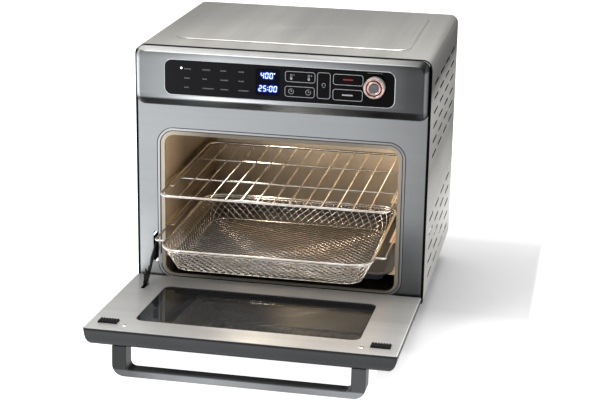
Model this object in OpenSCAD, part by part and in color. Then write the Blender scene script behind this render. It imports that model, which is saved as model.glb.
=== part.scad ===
// Countertop air-fryer toaster oven with the door open.
// Origin: middle of the whole outline with the door open, on the soles of the feet. +Z up, the door faces -Y.

/* [Casing] */
// Width of the casing
body_w = 400; // [385:1:440]
// Depth from the front frame to the rear cover
body_d = 330; // [325:1:360]
// Height of the casing without the feet
body_h = 336; // [332:1:360]
// Sheet thickness of the casing, the rear cover and the base
sheet_t = 0.8; // [0.6:0.1:1.4]
// Radius of the long top edges
casing_r = 12; // [6:1:20]
// Shadow gap between the front frame and the casing
seam = 2; // [1:0.5:4]
// Clearance between parts that lie next to each other
fit = 0.3; // [0.2:0.05:0.4]

/* [Embossed top] */
// Height of the raised panel on the top
emboss_h = 1.2; // [0.6:0.1:2]
// Distance of the raised panel from the sides
emboss_side = 39; // [30:1:60]
// Distance of the raised panel from the front
emboss_front = 55; // [40:1:80]
// Distance of the raised panel from the rear
emboss_rear = 33; // [20:1:60]
// Corner radius of the raised panel
emboss_r = 20; // [8:1:28]

/* [Side vents] */
// Length of one vent slot
vent_l = 44; // [30:1:50]
// Height of one vent slot
vent_h = 4; // [2.5:0.5:6]
// Distance between slot columns
vent_pitch_y = 66.5; // [60:0.5:68]
// Distance between slot rows
vent_pitch_z = 20.3; // [16:0.1:21]
// Number of slot columns
vent_cols = 4; // [2:1:4]
// Rows in the lower block
vent_rows_low = 5; // [2:1:6]
// Rows in the upper block
vent_rows_top = 6; // [2:1:6]
// Distance of the first column from the front
vent_y0 = 49; // [40:1:60]
// Height of the lowest row
vent_z_low = 21.5; // [18:0.5:30]
// Height of the lowest row of the upper block
vent_z_top = 193.5; // [180:0.5:196]

/* [Feet and base] */
// Depth of the base plate below the casing edge
base_hang = 9; // [9:0.5:12]
// Distance of the base plate from the casing sides
base_inset = 12; // [10:1:16]
// Height of a foot with its sole
foot_h = 35; // [33:1:45]
// Diameter of a foot
foot_d = 36; // [28:1:44]
// Distance of the foot centres from the sides
foot_in_x = 44; // [36:1:60]
// Distance of the foot centres from the front and the rear
foot_in_y = 42; // [36:1:60]
// Thickness of a rubber sole
sole_t = 4; // [2:0.5:6]
// Diameter of the foot screws
foot_screw_d = 5; // [4:0.5:6]

/* [Front frame] */
// Thickness of the front frame
front_t = 1.2; // [1:0.1:2]
// Depth of the flange that the casing slides over
flange_l = 14; // [10:1:18]
// Distance of the opening from the casing's sides
open_in = 33; // [32:0.5:35]
// Top of the opening
open_top = 220; // [218:1:226]
// Bottom of the opening
open_low = 9; // [8:0.5:10]
// Corner radius of the opening
open_r = 20; // [12:1:24]
// Width of the lip inside the opening
lip_w = 6; // [5:0.2:6]
// Depth of the lip
lip_d = 5; // [4:0.5:6]

/* [Cavity] */
// Distance of the cavity's side walls from the casing's sides
cav_in = 35; // [34.5:0.5:36]
// Inner depth of the cavity behind the lip
cav_d = 292; // [290:1:294]
// Height of the cavity roof
roof_z = 232; // [230:1:236]
// Depth of the cavity floor below the casing edge
floor_drop = 6; // [5.5:0.1:6.5]
// Sheet thickness of the cavity
cav_t = 0.8; // [0.6:0.1:1.2]
// Length of the support rails
rail_l = 276; // [250:1:280]
// Width of the support rails
rail_w = 14; // [12:0.5:14.5]
// Sheet thickness of the rails
rail_t = 1; // [0.8:0.1:1.4]
// Height of a rail's wall leg
rail_leg = 9; // [6:0.5:12]

/* [Control panel] */
// Depth of the bezel
bezel_d = 15; // [12:0.5:18]
// Height of the bezel at its base
bezel_h = 81; // [78:1:90]
// Inset of the bezel's front face at the sides
bezel_in_x = 7; // [4:0.5:8]
// Drop of the front face at the top
bezel_in_top = 5; // [2:0.5:6]
// Height of the bevel along the lower edge
bezel_bevel = 9.5; // [6:0.5:11]
// Corner radius of the bezel
bezel_r = 14; // [10:1:18]
// Wall of the bezel
bezel_t = 2.2; // [2:0.1:3]
// Distance of the control glass from the casing's sides
glass_in = 45; // [40:1:50]
// Height of the control glass
glass_h = 48; // [44:1:50]
// Height of the glass centre
glass_z = 298; // [296:0.5:300]
// Corner radius of the control glass
glass_r = 10; // [6:1:14]
// Thickness of the control glass
glass_t = 1.6; // [1.2:0.1:2]
// Distance that the glass stands proud of the bezel
glass_proud = 0.6; // [0.2:0.1:1]
// Place of the display across the panel
display_x = -14; // [-20:1:-8]
// Width of the display module
display_w = 40; // [34:1:44]
// Height of the display module
display_h = 36; // [30:1:38]

/* [Knob] */
// Distance of the knob axis from the casing's right side
knob_in = 71; // [68:1:80]
// Height of the knob axis
knob_z = 302; // [298:0.5:304]
// Diameter of the knob
knob_d = 27.6; // [22:0.2:30]
// Length of the knob
knob_l = 13; // [10:0.5:18]
// Diameter of the knob's cap
knob_cap_d = 13; // [8:0.5:18]
// Diameter of the knob shaft
knob_shaft_d = 6; // [4:0.5:8]
// Running clearance of the shafts, on the radius
run_fit = 0.05; // [0.02:0.01:0.1]

/* [Door] */
// Angle at which the door stands open
door_open = 87; // [84:0.5:90]
// Length of the door from its lower edge to its top edge
door_l = 239.5; // [236:0.5:241]
// Thickness of the door
door_t = 22; // [21:0.5:26]
// Distance of the hinge axis in front of the front frame
hinge_out = 10; // [10:0.5:12]
// Height of the hinge axis above the casing edge
hinge_up = 4; // [3.5:0.1:4.5]
// Distance from the hinge axis to the lower edge of the door
hinge_edge = 6.5; // [6.2:0.1:7]
// Distance from the hinge axis to the door's inner face
hinge_in = 7; // [6.8:0.1:7]
// Rounding of the door's outer edges
door_r = 8; // [4:0.5:10]
// Rounding of the door's upper corners
door_corner_r = 14; // [10:1:20]
// Thickness of the inner panel
panel_t = 0.8; // [0.6:0.1:1]
// Distance of the inner panel from the door's edges
panel_in = 1.5; // [1:0.1:3]
// Distance of the window from the door's sides
win_in = 54; // [50:1:70]
// Lower edge of the window above the hinge axis
win_low = 38; // [34:1:50]
// Upper edge of the window above the hinge axis
win_top = 188; // [170:1:196]
// Corner radius of the window
win_r = 12; // [6:1:20]
// Thickness of the window glasses
pane_t = 3; // [2.5:0.1:3.2]
// Width of the seat around the glasses
seat_w = 8; // [6:0.5:10]
// Width of the outer window trim
trim_w = 5; // [3:0.5:7]

/* [Handle] */
// Distance of the handle's ends from the door's sides
handle_in = 38; // [30:1:50]
// Depth of the handle along the door
handle_w = 22; // [18:0.5:26]
// Stand-off of the handle from the door
handle_out = 39.5; // [34:0.5:42]
// Thickness of the bar
bar_t = 8; // [7:0.5:12]
// Width of a handle leg
leg_w = 18.5; // [14:0.5:22]
// Outer corner radius of the handle
handle_r = 15.5; // [8:0.5:18]
// Inner corner radius of the handle
handle_ri = 8; // [3:0.5:10]
// Distance of the handle from the door's top edge
handle_edge = 4; // [2:0.5:10]
// Diameter of the handle screws
handle_screw_d = 4; // [3:0.5:5]
// Distance of the screws from the handle's outer edge
handle_screw_in = 10; // [8:0.5:12]

/* [Bumpers] */
// Length of a bumper
bumper_l = 25; // [18:1:30]
// Width of a bumper
bumper_w = 14; // [10:1:18]
// Height of a bumper
bumper_h = 2.6; // [2:0.1:2.7]
// Number of ribs on a bumper
bumper_ribs = 7; // [4:1:9]
// Distance of the bumpers from the door's sides
bumper_in = 25; // [20:1:30]
// Distance of the bumpers from the door's top edge
bumper_edge = 31; // [28:1:40]

/* [Hinge brackets] */
// Distance of the brackets from the door's sides
bracket_in = 20; // [19:0.5:21]
// Width of a bracket
bracket_w = 8; // [6:0.5:9]
// Radius of the bracket eye
eye_r = 5; // [4.5:0.1:5.2]
// Diameter of the hinge pins
pin_d = 5; // [4:0.5:6]
// Length of a hinge pin
pin_l = 22; // [18:1:26]

/* [Hinge arm] */
// Distance of the arm from the left side
arm_in = 25.8; // [25.4:0.1:26.2]
// Thickness of the arm
arm_t = 2; // [1.5:0.1:2.2]
// Distance of the arm pin from the hinge axis, along the door
arm_s = 40.6; // [40:0.1:41]
// Height of the arm pin above the door's inner face
arm_up = 2.9; // [2.8:0.1:3]
// Rest angle of the arm
arm_angle = 33; // [32:0.5:34]
// Length of the arm
arm_l = 92; // [80:1:94]
// Half width of the arm
arm_hw = 4.6; // [4:0.1:4.8]
// Diameter of the arm pin
arm_pin_d = 4; // [3:0.5:4]
// Thickness of the cheeks that hold the arm pin
cheek_t = 1.5; // [1:0.1:1.6]
// Width of the slot for the arm
slot_w = 7.6; // [7:0.1:8]
// Distance of the slot from the left side
slot_in = 26.1; // [25.5:0.1:26.5]
// Lower end of the slot
slot_low = 29; // [27:0.5:30]
// Upper end of the slot
slot_top = 74; // [74:1:80]

/* [Baking pan] */
// Distance of the pan's rim from the cavity's side walls
pan_in = 10; // [9:0.5:11]
// Length of the pan
pan_l = 290; // [270:1:291]
// Height of the pan's rim
pan_z = 36.5; // [36:0.1:37]
// Depth of the pan
pan_depth = 14; // [12:0.5:14.5]
// Width of the pan's rim
pan_rim = 10.5; // [9:0.5:11]
// Corner radius of the rim
pan_r = 20; // [14:1:24]
// Sheet thickness of the pan
pan_t = 1; // [0.8:0.1:1.2]

/* [Air-fry basket] */
// Distance of the basket's rim wire from the cavity's side walls
basket_in = 23; // [22:0.5:27]
// Length of the basket
basket_l = 260; // [240:1:264]
// Height of the rim wire's centre
basket_z = 83; // [82:0.5:84]
// Depth of the mesh tub
basket_depth = 32; // [26:1:34]
// Taper of the mesh tub
basket_taper = 15; // [8:1:18]
// Corner radius of the rim
basket_r = 30; // [20:1:40]
// Diameter of the basket's wires
basket_wire = 3.5; // [3:0.1:4]
// Thickness of the mesh
mesh_t = 1.2; // [0.8:0.1:1.6]
// Distance of the side runners from the cavity's side walls
runner_gap = 8.5; // [8:0.1:9]
// Diameter of the side runners
runner_d = 3; // [2.6:0.1:3.2]
// Bend radius of the side runners
runner_r = 6; // [5:0.5:10]
// Distance of the side runners from the basket's ends
runner_in = 36; // [34:1:60]
// Distance of the rim from the closed door at home
basket_home = 4.5; // [3:0.5:6]
// Distance that the basket is drawn out
basket_out = 104; // [80:1:106]

/* [Wire rack] */
// Distance of the rack from the cavity's side walls
rack_gap = 6.5; // [6:0.5:8]
// Length of the rack
rack_l = 280; // [260:1:284]
// Height of the frame wire's centre
rack_z = 140; // [138:0.5:142]
// Diameter of the frame wire
rack_wire = 4; // [3:0.1:4.4]
// Diameter of the bars
rack_bar = 2.5; // [2:0.1:3]
// Distance between bars
rack_pitch = 21.6; // [18:0.1:30]
// Corner radius of the rack
rack_r = 16; // [10:1:24]
// Distance of the rack from the front frame at home
rack_home = 3; // [2.5:0.5:6]
// Distance that the rack is drawn out
rack_out = 47; // [30:1:50]

/* [Crumb tray] */
// Distance of the crumb tray from the cavity's side walls
tray_gap = 10; // [7:1:15]
// Height of the tray's rim
tray_h = 8; // [6:0.5:8]
// Sheet thickness of the tray
tray_t = 0.8; // [0.6:0.1:1]
// Length of the pull at the rear
tray_pull = 3; // [2:0.5:6]

/* [Heating and fan] */
// Diameter of the heating rods
rod_d = 7; // [6:0.5:8]
// Height of the lower rods
rod_low_z = 9; // [8.5:0.1:9.5]
// Distance of the front lower rod from the front frame
rod_front_y = 92; // [80:1:110]
// Distance of the rear lower rod from the front frame
rod_rear_y = 222; // [200:1:240]
// Distance of the fan axis from the front frame
fan_y = 152; // [148:1:160]
// Radius of the fan opening in the roof
fan_hole_r = 78; // [70:1:80]
// Radius of the upper ring element
ring_r = 100; // [96:1:104]
// Height of the ring element below the roof
ring_drop = 8; // [7:0.5:8]
// Distance of the ring element's terminals from the middle
term_x = 14; // [10:1:20]
// Radius of the fan wheel
fan_r = 70; // [60:1:72]
// Height of the fan housing
housing_h = 30; // [28:1:34]
// Diameter of the fan shaft
fan_shaft_d = 6; // [5:0.5:8]
// Diameter of the fan motor
motor_d = 62; // [50:1:66]
// Height of the fan motor
motor_h = 44; // [40:1:48]
// Distance of the temperature probe from the cavity's left wall
probe_in = 45; // [35:1:60]
// Distance of the temperature probe below the roof
probe_drop = 20; // [14:1:21]
// Diameter of the temperature probe
probe_d = 4; // [3:0.5:5]
// Length of the temperature probe inside the cavity
probe_l = 60; // [30:1:70]
// Distance of the lamp from the front frame
lamp_y = 236; // [200:1:250]
// Height of the lamp
lamp_z = 180; // [172:1:186]
// Diameter of the lamp lens
lens_d = 42; // [36:1:46]
// Number of fan blades
fan_blades = 8; // [5:1:10]

/* [Hidden] */
$fn = 48;

foot_total = foot_h + base_hang;
open_x = body_w/2 - open_in;
cav_x = body_w/2 - cav_in;
glass_x = body_w/2 - glass_in;
knob_x = body_w/2 - knob_in;
win_x = body_w/2 - win_in;
handle_x = body_w/2 - handle_in;
pan_x = cav_x - pan_in;
basket_x = cav_x - basket_in;
runner_x = cav_x - runner_gap;
rack_x = cav_x - rack_gap;
tray_x = cav_x - tray_gap;
probe_x = cav_x - probe_in;
screw_head_d = 7;
screw_head_t = 1;
screw_d = 3;
screw_l = 8;
screw_in = 12;
term_h = 22;
pcb_w = 60;
pcb_l = 110;
pcb_t = 1.6;
pcb_x = cav_x - pcb_w - 5;
pcb_y = 20;
pcb_lift = 6;
flange_x = body_w/2 - sheet_t - fit;
cav_y0 = 1 + lip_d;
cav_y1 = cav_y0 + cav_d;
floor_z = -floor_drop;
pan_base = pan_z - pan_t;
rail_y0 = cav_y0 + 6;
rail_pan = pan_z - pan_t - fit;
rail_basket = basket_z - runner_d/2 - fit;
rail_rack = rack_z - rack_wire/2 - fit;
lip_low = open_low + fit + 3;
bezel_low = body_h - bezel_h;
glass_front = -bezel_d - glass_proud;
glass_back = glass_front + glass_t;
panel_free = flange_x - cav_x - cav_t;
housing_r = fan_hole_r + 8;
housing_z = roof_z + cav_t;
motor_z = housing_z + housing_h + fit;
cover_y = body_d - sheet_t;
base_y0 = front_t + 2*fit + 0.9;
base_l = cover_y - sheet_t - fit - base_y0;
door_top = door_l - hinge_edge;
door_out = door_t - hinge_in;
panel_y = hinge_in - panel_t;
handle_top = door_top - handle_edge;
bar_front = door_out + handle_out;
screw_x = handle_x - handle_screw_in;
screw_s = handle_top - handle_w + 4;
arm_x = -body_w/2 + arm_in;
arm_y = hinge_in + arm_up;
cheek_x = arm_t/2 + fit + cheek_t/2;
cheek_end = cheek_x + cheek_t/2;
slot_x = -body_w/2 + slot_in;
bracket_x = body_w/2 - bracket_in;
tray_y1 = body_d + tray_pull;
door_reach = hinge_out + (door_top - door_r)*sin(door_open) + (door_out - door_r)*cos(door_open) + door_r;
middle_y = (tray_y1 - door_reach)/2;
shaft_end = glass_back + 6.5;
front_gap = hinge_out - hinge_in;

// ---- placing ----

module in_body() { translate([0, -middle_y, foot_total]) children(); }

module on_door() {
    in_body() translate([0, -hinge_out, hinge_up]) rotate([door_open, 0, 0]) children();
}

// extrusion of an X-Z outline from y0 to y1
module along_y(y0, y1) { translate([0, y1, 0]) rotate([90, 0, 0]) linear_extrude(y1 - y0) children(); }

// extrusion of a Y-Z outline from x0 to x1
module along_x(x0, x1) { translate([x0, 0, 0]) rotate([90, 0, 90]) linear_extrude(x1 - x0) children(); }

// ---- outlines ----

module round_rect(x0, x1, y0, y1, r) {
    translate([x0 + r, y0]) square([x1 - x0 - 2*r, y1 - y0]);
    translate([x0, y0 + r]) square([x1 - x0, y1 - y0 - 2*r]);
    for (x = [x0 + r, x1 - r], y = [y0 + r, y1 - r]) translate([x, y]) circle(r);
}

module top_round(x, y0, y1, r) {
    translate([-x, y0]) square([2*x, y1 - y0 - r]);
    translate([-x + r, y0]) square([2*x - 2*r, y1 - y0]);
    for (s = [-1, 1]) translate([s*(x - r), y1 - r]) circle(r);
}

module stadium(l, h) {
    translate([h/2, -h/2]) square([l - h, h]);
    for (x = [h/2, l - h/2]) translate([x, 0]) circle(h/2);
}

// closed loop of round wire in the X-Y plane
module wire_loop(x, y0, y1, r, d) {
    for (s = [-1, 1]) translate([s*x, y0 + r, 0]) rotate([-90, 0, 0]) cylinder(d = d, h = y1 - y0 - 2*r);
    for (y = [y0, y1]) translate([-x + r, y, 0]) rotate([0, 90, 0]) cylinder(d = d, h = 2*x - 2*r);
    for (c = [[1, 1, 0], [-1, 1, 90], [-1, -1, 180], [1, -1, 270]])
        translate([c[0]*(x - r), c[1] > 0 ? y1 - r : y0 + r, 0]) rotate([0, 0, c[2]])
            rotate_extrude(angle = 90) translate([r, 0]) circle(d = d);
}

module vent_block(rows, z0, pitch) {
    for (c = [0:vent_cols - 1], k = [0:rows - 1])
        translate([vent_y0 + c*vent_pitch_y, z0 + k*pitch]) stadium(vent_l, vent_h);
}

// ---- casing ----

module outer_casing() {
    color("silver") in_body() {
        difference() {
            along_y(front_t + seam, body_d) difference() {
                top_round(body_w/2, 0, body_h, casing_r);
                translate([0, -1]) top_round(body_w/2 - sheet_t, 0, body_h - sheet_t + 1, casing_r - sheet_t);
            }
            along_x(-body_w, body_w) {
                vent_block(vent_rows_low, vent_z_low, vent_pitch_z);
                vent_block(vent_rows_top, vent_z_top, vent_pitch_z);
            }
        }
        translate([0, 0, body_h]) linear_extrude(emboss_h)
            round_rect(-body_w/2 + emboss_side, body_w/2 - emboss_side, emboss_front, body_d - emboss_rear, emboss_r);
    }
}

module rear_cover() {
    color("darkgray") in_body() difference() {
        along_y(cover_y - sheet_t, cover_y)
            top_round(body_w/2 - sheet_t - fit, 0.2, body_h - sheet_t - fit, casing_r - sheet_t);
        along_y(cover_y - 10, body_d) {
            for (x = [-150:50:110], k = [0:6]) translate([x - 18, 60 + k*20]) stadium(36, vent_h);
            for (x = [-100:50:60], k = [0:3]) translate([x - 18, 230 + k*20]) stadium(36, vent_h);
            translate([-tray_x - 1, -1]) square([2*tray_x + 2, 1 + tray_h + floor_z + 2]);
        }
        translate([150, cover_y - 10, 40]) rotate([-90, 0, 0]) cylinder(d = 16, h = 20);
        for (x = [-1, 1], z = cover_screw_z()) translate([x*(body_w/2 - screw_in), cover_y - 10, z])
            rotate([-90, 0, 0]) cylinder(d = screw_d + 0.4, h = 20);
    }
}

module cover_screws() {
    color("dimgray") in_body() for (x = [-1, 1], z = cover_screw_z())
        translate([x*(body_w/2 - screw_in), cover_y, z]) rotate([-90, 0, 0]) {
            cylinder(d = screw_head_d, h = screw_head_t);
            translate([0, 0, -screw_l]) cylinder(d = screw_d, h = screw_l + 0.2);
        }
}

function cover_screw_z() = [for (k = [0.09, 0.535, 0.895]) k*body_h];

module cord_gland() {
    color("black") in_body() translate([150, cover_y, 40]) rotate([-90, 0, 0]) difference() {
        union() {
            cylinder(d = 22, h = 1.2);
            translate([0, 0, -6]) cylinder(d = 16, h = 6.2);
            translate([0, 0, -6]) cylinder(d = 20, h = 6 - sheet_t - fit);
        }
        translate([0, 0, -8]) cylinder(d = 8, h = 12);
    }
}

module base_plate() {
    x = body_w/2 - base_inset;
    color("gray") in_body() difference() {
        union() {
            translate([-x, base_y0, -base_hang]) cube([2*x, base_l, sheet_t]);
            for (s = [-1, 1]) translate([s > 0 ? x - sheet_t : -x, base_y0, -base_hang])
                cube([sheet_t, base_l, base_hang - fit]);
            translate([-x, base_y0, -base_hang]) cube([2*x, sheet_t, base_hang - fit]);
        }
        for (p = foot_spots()) translate([p[0], p[1], -base_hang - 1]) cylinder(d = foot_screw_d, h = 4);
        for (c = [-4:4], k = [0:2]) translate([c*26, 130 + k*34, -base_hang - 1])
            linear_extrude(4) rotate(90) stadium(22, vent_h);
    }
}

function foot_spots() = [for (x = [-1, 1], y = [foot_in_y, body_d - foot_in_y]) [x*(body_w/2 - foot_in_x), y]];

module foot(i) {
    p = foot_spots()[i];
    color([0.12, 0.12, 0.13]) in_body() translate([p[0], p[1], -base_hang]) {
        translate([0, 0, -4]) cylinder(d = foot_d, h = 4);
        translate([0, 0, -foot_h + sole_t]) cylinder(d = foot_d - 6, h = foot_h - sole_t - 3.5);
        cylinder(d = foot_screw_d, h = base_hang - floor_drop - cav_t - fit);
    }
}

module foot_front_left() { foot(0); }
module foot_rear_left() { foot(1); }
module foot_front_right() { foot(2); }
module foot_rear_right() { foot(3); }

module foot_soles() {
    color([0.05, 0.05, 0.05]) in_body() for (p = foot_spots())
        translate([p[0], p[1], -foot_total]) cylinder(d = foot_d - 4, h = sole_t);
}

// ---- front ----

module front_frame() {
    color([0.68, 0.7, 0.72]) in_body() {
        difference() {
            along_y(0, front_t) top_round(body_w/2, 0, body_h, casing_r);
            along_y(-1, front_t + 1) {
                round_rect(-open_x, open_x, open_low, open_top, open_r);
                translate([slot_x, slot_low]) rotate(90) stadium(slot_top - slot_low, slot_w);
                translate([-20, glass_z - 12]) square([40, 20]);
            }
        }
        along_y(front_t, flange_l) difference() {
            top_round(flange_x, 0.5, body_h - sheet_t - fit, casing_r - sheet_t - fit);
            translate([0, -1]) top_round(flange_x - sheet_t, 0, body_h - 2*sheet_t - fit + 1, casing_r - 2*sheet_t - fit);
        }
    }
}

module cavity_lip() {
    color([0.75, 0.72, 0.66]) in_body() along_y(1, 1 + lip_d) difference() {
        round_rect(-open_x + fit, open_x - fit, open_low + fit, open_top - fit, open_r - fit);
        round_rect(-open_x + fit + lip_w, open_x - fit - lip_w, lip_low, open_top - fit - lip_w, open_r - lip_w);
    }
}

// ---- cavity ----

module side_sheet(s) {
    along_x(s > 0 ? cav_x : -cav_x - cav_t, s > 0 ? cav_x + cav_t : -cav_x)
        translate([cav_y0, floor_z]) square([cav_d, roof_z - floor_z]);
}

module cavity_left_wall() {
    color([0.72, 0.66, 0.55]) in_body() difference() {
        side_sheet(-1);
        for (y = [rod_front_y, rod_rear_y]) translate([-cav_x - 5, y, rod_low_z]) rotate([0, 90, 0])
            cylinder(d = rod_d + 3, h = 10);
    }
}

module cavity_right_wall() {
    color([0.72, 0.66, 0.55]) in_body() difference() {
        side_sheet(1);
        for (y = [rod_front_y, rod_rear_y]) translate([cav_x - 5, y, rod_low_z]) rotate([0, 90, 0])
            cylinder(d = rod_d + 3, h = 10);
        translate([cav_x - 5, lamp_y, lamp_z]) rotate([0, 90, 0]) cylinder(d = lens_d - 8, h = 10);
    }
}

module cavity_roof() {
    color([0.72, 0.66, 0.55]) in_body() difference() {
        translate([-cav_x - cav_t, cav_y0, roof_z]) cube([2*(cav_x + cav_t), cav_d, cav_t]);
        translate([0, fan_y, roof_z - 1]) cylinder(r = fan_hole_r, h = 4);
        for (x = [-1, 1]) translate([x*term_x, fan_y + ring_y(), roof_z - 1]) cylinder(d = rod_d + 3, h = 4);
    }
}

function ring_y() = sqrt(ring_r*ring_r - term_x*term_x);

module cavity_floor() {
    color([0.6, 0.58, 0.52]) in_body()
        translate([-cav_x - cav_t, cav_y0, floor_z - cav_t]) cube([2*(cav_x + cav_t), cav_d, cav_t]);
}

module cavity_back() {
    color([0.72, 0.66, 0.55]) in_body() difference() {
        along_y(cav_y1, cav_y1 + cav_t) translate([-cav_x - cav_t, floor_z - cav_t])
            square([2*(cav_x + cav_t), roof_z - floor_z + 2*cav_t]);
        translate([-tray_x - 1, cav_y1 - 1, floor_z]) cube([2*tray_x + 2, cav_t + 2, tray_h + 2]);
        translate([-probe_x, cav_y1 - 5, roof_z - probe_drop]) rotate([-90, 0, 0]) cylinder(d = probe_d + 2*fit, h = 10);
    }
}

module rails(s) {
    color([0.78, 0.74, 0.66]) in_body() for (z = [rail_pan, rail_basket, rail_rack]) {
        translate([s > 0 ? cav_x - rail_w : -cav_x, rail_y0, z - rail_t]) cube([rail_w, rail_l, rail_t]);
        translate([s > 0 ? cav_x - rail_t : -cav_x, rail_y0, z - rail_leg]) cube([rail_t, rail_l, rail_leg]);
    }
}

module left_rails() { rails(-1); }
module right_rails() { rails(1); }

// ---- heating and fan ----

module fan_guard() {
    color([0.7, 0.66, 0.58]) in_body() translate([0, fan_y, 0]) difference() {
        union() {
            translate([0, 0, roof_z - 4]) cylinder(r = fan_hole_r + 5, h = 4);
        }
        translate([0, 0, roof_z - 3]) cylinder(r = fan_hole_r, h = 4);
        for (ring = [1:6], k = [0:6*ring - 1]) rotate(k*60/ring) translate([ring*(fan_hole_r - 8)/6, 0, roof_z - 5])
            cylinder(d = 6, h = 4);
        translate([0, 0, roof_z - 5]) cylinder(d = 6, h = 4);
    }
}

module fan_housing() {
    color([0.66, 0.67, 0.68]) in_body() translate([0, fan_y, housing_z]) difference() {
        cylinder(r = housing_r, h = housing_h);
        translate([0, 0, -1]) cylinder(r = housing_r - 1.2, h = housing_h - 1.2 + 1);
        translate([0, 0, -1]) cylinder(d = fan_shaft_d + 4, h = housing_h + 2);
        for (k = [0:7]) rotate(k*45 + 10) translate([housing_r - 4, 0, 8]) cube([8, 10, 16], center = false);
    }
}

module fan_motor() {
    color([0.5, 0.5, 0.52]) in_body() translate([0, fan_y, motor_z]) difference() {
        union() {
            translate([0, 0, 2]) cylinder(d = motor_d, h = motor_h - 2);
            cylinder(d = motor_d + 16, h = 2.4);
        }
        translate([0, 0, -1]) cylinder(r = fan_shaft_d/2 + run_fit, h = motor_h - 9);
    }
}

module fan_wheel() {
    color([0.6, 0.6, 0.6]) in_body() translate([0, fan_y, housing_z]) {
        translate([0, 0, 3]) cylinder(d = fan_shaft_d, h = housing_h + motor_h - 16);
        translate([0, 0, 3]) cylinder(d = 22, h = 12);
        translate([0, 0, 4]) cylinder(r = fan_r - 8, h = 1.2);
        for (k = [0:fan_blades - 1]) rotate(k*360/fan_blades) translate([9, -0.6, 4]) cube([fan_r - 9, 1.2, 16]);
    }
}

module upper_element() {
    gap = asin(term_x/ring_r);
    color([0.25, 0.22, 0.2]) in_body() translate([0, fan_y, roof_z - ring_drop]) {
        rotate([0, 0, 90 + gap]) rotate_extrude(angle = 360 - 2*gap) translate([ring_r, 0]) circle(d = rod_d);
        for (x = [-1, 1]) translate([x*term_x, ring_y(), -rod_d/2]) cylinder(d = rod_d + 1, h = ring_drop + term_h);
    }
}

module lower_elements() {
    color([0.25, 0.22, 0.2]) in_body() for (y = [rod_front_y, rod_rear_y])
        translate([-cav_x - 16, y, rod_low_z]) rotate([0, 90, 0]) cylinder(d = rod_d, h = 2*cav_x + 32);
}

module insulator(d) {
    difference() {
        union() {
            cylinder(d = d + 9, h = 3);
            cylinder(d = d + 5, h = 10);
        }
        translate([0, 0, -1]) cylinder(d = d, h = 12);
    }
}

module element_insulators() {
    color("white") in_body() {
        for (s = [-1, 1], y = [rod_front_y, rod_rear_y]) translate([s*(cav_x + cav_t), y, rod_low_z])
            rotate([0, s*90, 0]) insulator(rod_d);
        for (x = [-1, 1]) translate([x*term_x, fan_y + ring_y(), roof_z + cav_t]) insulator(rod_d + 1);
    }
}

module oven_lamp() {
    color([0.95, 0.9, 0.75]) in_body() translate([cav_x + cav_t, lamp_y, lamp_z]) rotate([0, 90, 0]) {
        difference() {
            cylinder(d = lens_d, h = 16);
            translate([0, 0, -1]) cylinder(d = lens_d - 8, h = 14);
        }
        translate([0, 0, 4]) cylinder(d = 12, h = 18);
    }
}

module lamp_lens() {
    color([0.9, 0.92, 0.9, 0.5]) in_body() translate([cav_x - 3, lamp_y, lamp_z]) rotate([0, 90, 0]) {
        cylinder(d = lens_d, h = 3);
        translate([0, 0, 2.9]) cylinder(d = lens_d - 8 - 2*fit, h = cav_t);
    }
}

module temperature_probe() {
    color("silver") in_body() translate([-probe_x, cav_y1, roof_z - probe_drop]) rotate([-90, 0, 0]) {
        translate([0, 0, -probe_l]) cylinder(d = probe_d, h = 1.2*probe_l);
        translate([0, 0, cav_t]) cylinder(d = 3*probe_d, h = probe_d);
    }
}

module thermal_cutoff() {
    color([0.15, 0.15, 0.16]) in_body() translate([-110, 60, roof_z + cav_t]) {
        cylinder(d = 18, h = 8);
        translate([-14, -5, 0]) cube([28, 10, 1.2]);
        for (x = [-5, 5]) translate([x - 0.4, -3, 7.9]) cube([0.8, 6, 8]);
    }
}

module door_switch() {
    color([0.1, 0.1, 0.11]) in_body() {
        translate([flange_x - sheet_t - fit - 20, front_t, 150]) cube([14, 12, 30]);
        translate([flange_x - sheet_t - fit - 16, front_t + 11.9, 158]) cube([6, 6, 14]);
    }
}

module power_board() {
    top = pcb_lift + pcb_t - 0.1;
    color([0.1, 0.35, 0.2]) in_body() translate([pcb_x, pcb_y, roof_z + cav_t]) {
        translate([0, 0, pcb_lift]) cube([pcb_w, pcb_l, pcb_t]);
        for (x = [pcb_w/12, 11*pcb_w/12], y = [pcb_l/22, 21*pcb_l/22]) translate([x, y, 0])
            cylinder(d = pcb_w/10, h = pcb_lift + 0.1);
        for (x = [pcb_w/10, 0.567*pcb_w]) translate([x, pcb_l/8, top]) cube([pcb_w/3, 0.22*pcb_l, 0.3*pcb_w]);
        for (y = [0.51, 0.71]) translate([pcb_w/3, y*pcb_l, top]) cylinder(d = 0.233*pcb_w, h = 0.4*pcb_w);
        translate([0.6*pcb_w, 0.545*pcb_l, top]) cube([0.3*pcb_w, 0.27*pcb_l, 0.367*pcb_w]);
    }
}

// ---- control panel ----

module bezel_solid(inset) {
    x = body_w/2 - 1 - inset;
    top = body_h - inset;
    low = bezel_low + inset;
    front = -bezel_d + inset;
    intersection() {
        along_x(-body_w, body_w) polygon([[0.001*inset, top], [front, top - bezel_in_top],
            [front, low + 11.5], [front + 6, low + 2], [0.001*inset, low]]);
        translate([0, 0, bezel_low - 10]) linear_extrude(bezel_h + 20)
            polygon([[-x, 0], [-x + bezel_in_x, front], [x - bezel_in_x, front], [x, 0]]);
        along_y(-bezel_d - 1, 1) round_rect(-x, x, low, top, bezel_r - inset);
    }
}

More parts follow.
